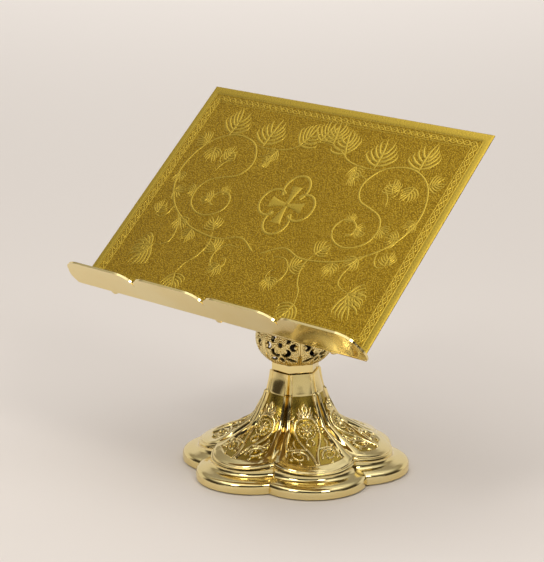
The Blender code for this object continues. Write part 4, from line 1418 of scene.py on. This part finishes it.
# ---- studio ---------------------------------------------------------------------------------------
@dataclass
class Studio:
    """Pale floor, soft boxes and the camera."""

    position: tuple[float, float, float] = (1.3629, -1.3739, 0.6641)
    target: tuple[float, float, float] = (-0.0141, -0.0143, 0.1635)
    lens: float = 150.3
    floor_tone: tuple[float, float, float] = (0.78, 0.73, 0.69)

    def floor(self) -> None:
        """A wide pale floor."""
        mesh = bpy.data.meshes.new("floor")
        reach = 14.0
        corners = [(-reach, -reach, 0), (reach, -reach, 0), (reach, reach, 0), (-reach, reach, 0)]
        mesh.from_pydata(corners, [], [(0, 1, 2, 3)])
        made = bpy.data.objects.new("floor", mesh)
        bpy.context.scene.collection.objects.link(made)
        paint = bpy.data.materials.new("floor_paper")
        paint.use_nodes = True
        shader = paint.node_tree.nodes["Principled BSDF"]
        shader.inputs["Base Color"].default_value = (*self.floor_tone, 1.0)
        shader.inputs["Roughness"].default_value = 0.9
        shader.inputs["Specular IOR Level"].default_value = 0.1
        mesh.materials.append(paint)

    def world(self) -> None:
        """A soft room: pale walls at front and back, dark sides, a dark gap over the front wall."""
        room = bpy.data.worlds.new("room")
        room.use_nodes = True
        bpy.context.scene.world = room
        nodes = Nodes(room.node_tree)
        where = nodes.add("ShaderNodeTexCoord").outputs["Generated"]
        axes = nodes.add("ShaderNodeSeparateXYZ")
        nodes.join(where, axes.inputs["Vector"])
        front = nodes.ramp(axes.outputs["Z"], [
            (0.0, (0.60, 0.56, 0.50)), (0.27, (0.64, 0.60, 0.54)), (0.32, (0.03, 0.026, 0.022)),
            (0.78, (0.03, 0.028, 0.026)), (0.86, (0.18, 0.17, 0.16)), (1.0, (0.30, 0.29, 0.28))])
        back = nodes.ramp(axes.outputs["Z"], [
            (0.0, (0.72, 0.68, 0.64)), (0.42, (0.72, 0.68, 0.64)), (0.50, (0.30, 0.27, 0.23)),
            (0.64, (0.38, 0.36, 0.33)), (0.78, (0.84, 0.81, 0.77)), (1.0, (0.44, 0.43, 0.42))])
        facing = nodes.add("ShaderNodeVectorMath", operation="DOT_PRODUCT")
        nodes.join(where, facing.inputs[0])
        facing.inputs[1].default_value = (0.71, -0.71, 0.0)
        side = nodes.spread(facing.outputs["Value"], 0.0, 1.0, -0.12, 0.22)
        flank = nodes.ramp(axes.outputs["Z"], [
            (0.0, (0.60, 0.56, 0.50)), (0.05, (0.06, 0.05, 0.04)), (0.50, (0.06, 0.05, 0.04)),
            (0.64, (0.38, 0.36, 0.33)), (0.78, (0.84, 0.81, 0.77)), (1.0, (0.44, 0.43, 0.42))])
        window = nodes.maths("MULTIPLY", nodes.spread(facing.outputs["Value"], 0.0, 1.0, -0.50, -0.25),
                             nodes.spread(facing.outputs["Value"], 1.0, 0.0, 0.35, 0.60))
        background = room.node_tree.nodes["Background"]
        nodes.join(nodes.mix(window, nodes.mix(side, back, front), flank), background.inputs["Color"])
        background.inputs["Strength"].default_value = 1.0

    def softbox(self, name: str, azimuth: float, elevation: float, distance: float, size: tuple[float, float],
                power: float, tone: tuple[float, float, float] = (1.0, 0.97, 0.93)) -> None:
        """One rectangular soft box that faces the stand.

        Args:
            name: Its name.
            azimuth: Degrees from -Y towards +X.
            elevation: Degrees above the floor.
            distance: Metres from the stand.
            size: Width and height.
            power: Watts.
            tone: Colour.
        """
        lamp = bpy.data.lights.new(name, "AREA")
        lamp.shape = "RECTANGLE"
        lamp.size, lamp.size_y = size
        lamp.energy = power
        lamp.color = tone
        made = bpy.data.objects.new(name, lamp)
        turn, lift = math.radians(azimuth), math.radians(elevation)
        away = Vector((math.sin(turn) * math.cos(lift), -math.cos(turn) * math.cos(lift), math.sin(lift)))
        made.location = away * distance + Vector((0, 0, 0.15))
        made.rotation_euler = away.to_track_quat("Z", "Y").to_euler()
        bpy.context.scene.collection.objects.link(made)

    def far_light(self) -> None:
        """A wide lamp over the floor far behind the stand."""
        lamp = bpy.data.lights.new("softbox_far_floor", "AREA")
        lamp.shape = "SQUARE"
        lamp.size = 2.6
        lamp.energy = 48
        made = bpy.data.objects.new("softbox_far_floor", lamp)
        made.location = (-2.7, 2.7, 2.4)
        made.visible_glossy = False
        bpy.context.scene.collection.objects.link(made)

    def camera(self) -> None:
        """Camera to the right of the desk, a little above it."""
        data = bpy.data.cameras.new("camera")
        data.lens = self.lens
        data.sensor_width = 36.0
        data.sensor_fit = "AUTO"
        data.clip_end = 60.0
        made = bpy.data.objects.new("camera", data)
        made.location = self.position
        look = Vector(self.target) - Vector(self.position)
        made.rotation_euler = look.to_track_quat("-Z", "Y").to_euler()
        bpy.context.scene.collection.objects.link(made)
        bpy.context.scene.camera = made

    def build(self) -> None:
        """Everything of the studio."""
        self.floor()
        self.world()
        self.softbox("softbox_overhead", 20, 80, 2.6, (3.8, 3.8), 35)
        self.softbox("softbox_left", 3, 42, 2.3, (0.50, 0.66), 9)
        self.softbox("softbox_right", 78, 40, 2.3, (0.50, 0.66), 9)
        self.far_light()
        self.camera()
        bpy.context.scene.view_settings.view_transform = "Standard"


def main() -> None:
    """Build the stand, piece by piece, and its studio."""
    logging.basicConfig(level=logging.INFO, format="%(name)s: %(message)s")
    dress_cad_nodes()
    Foot().build()
    Knop().build()
    Column().build()
    Desk().build()
    Studio().build()


if __name__ == "__main__":
    main()
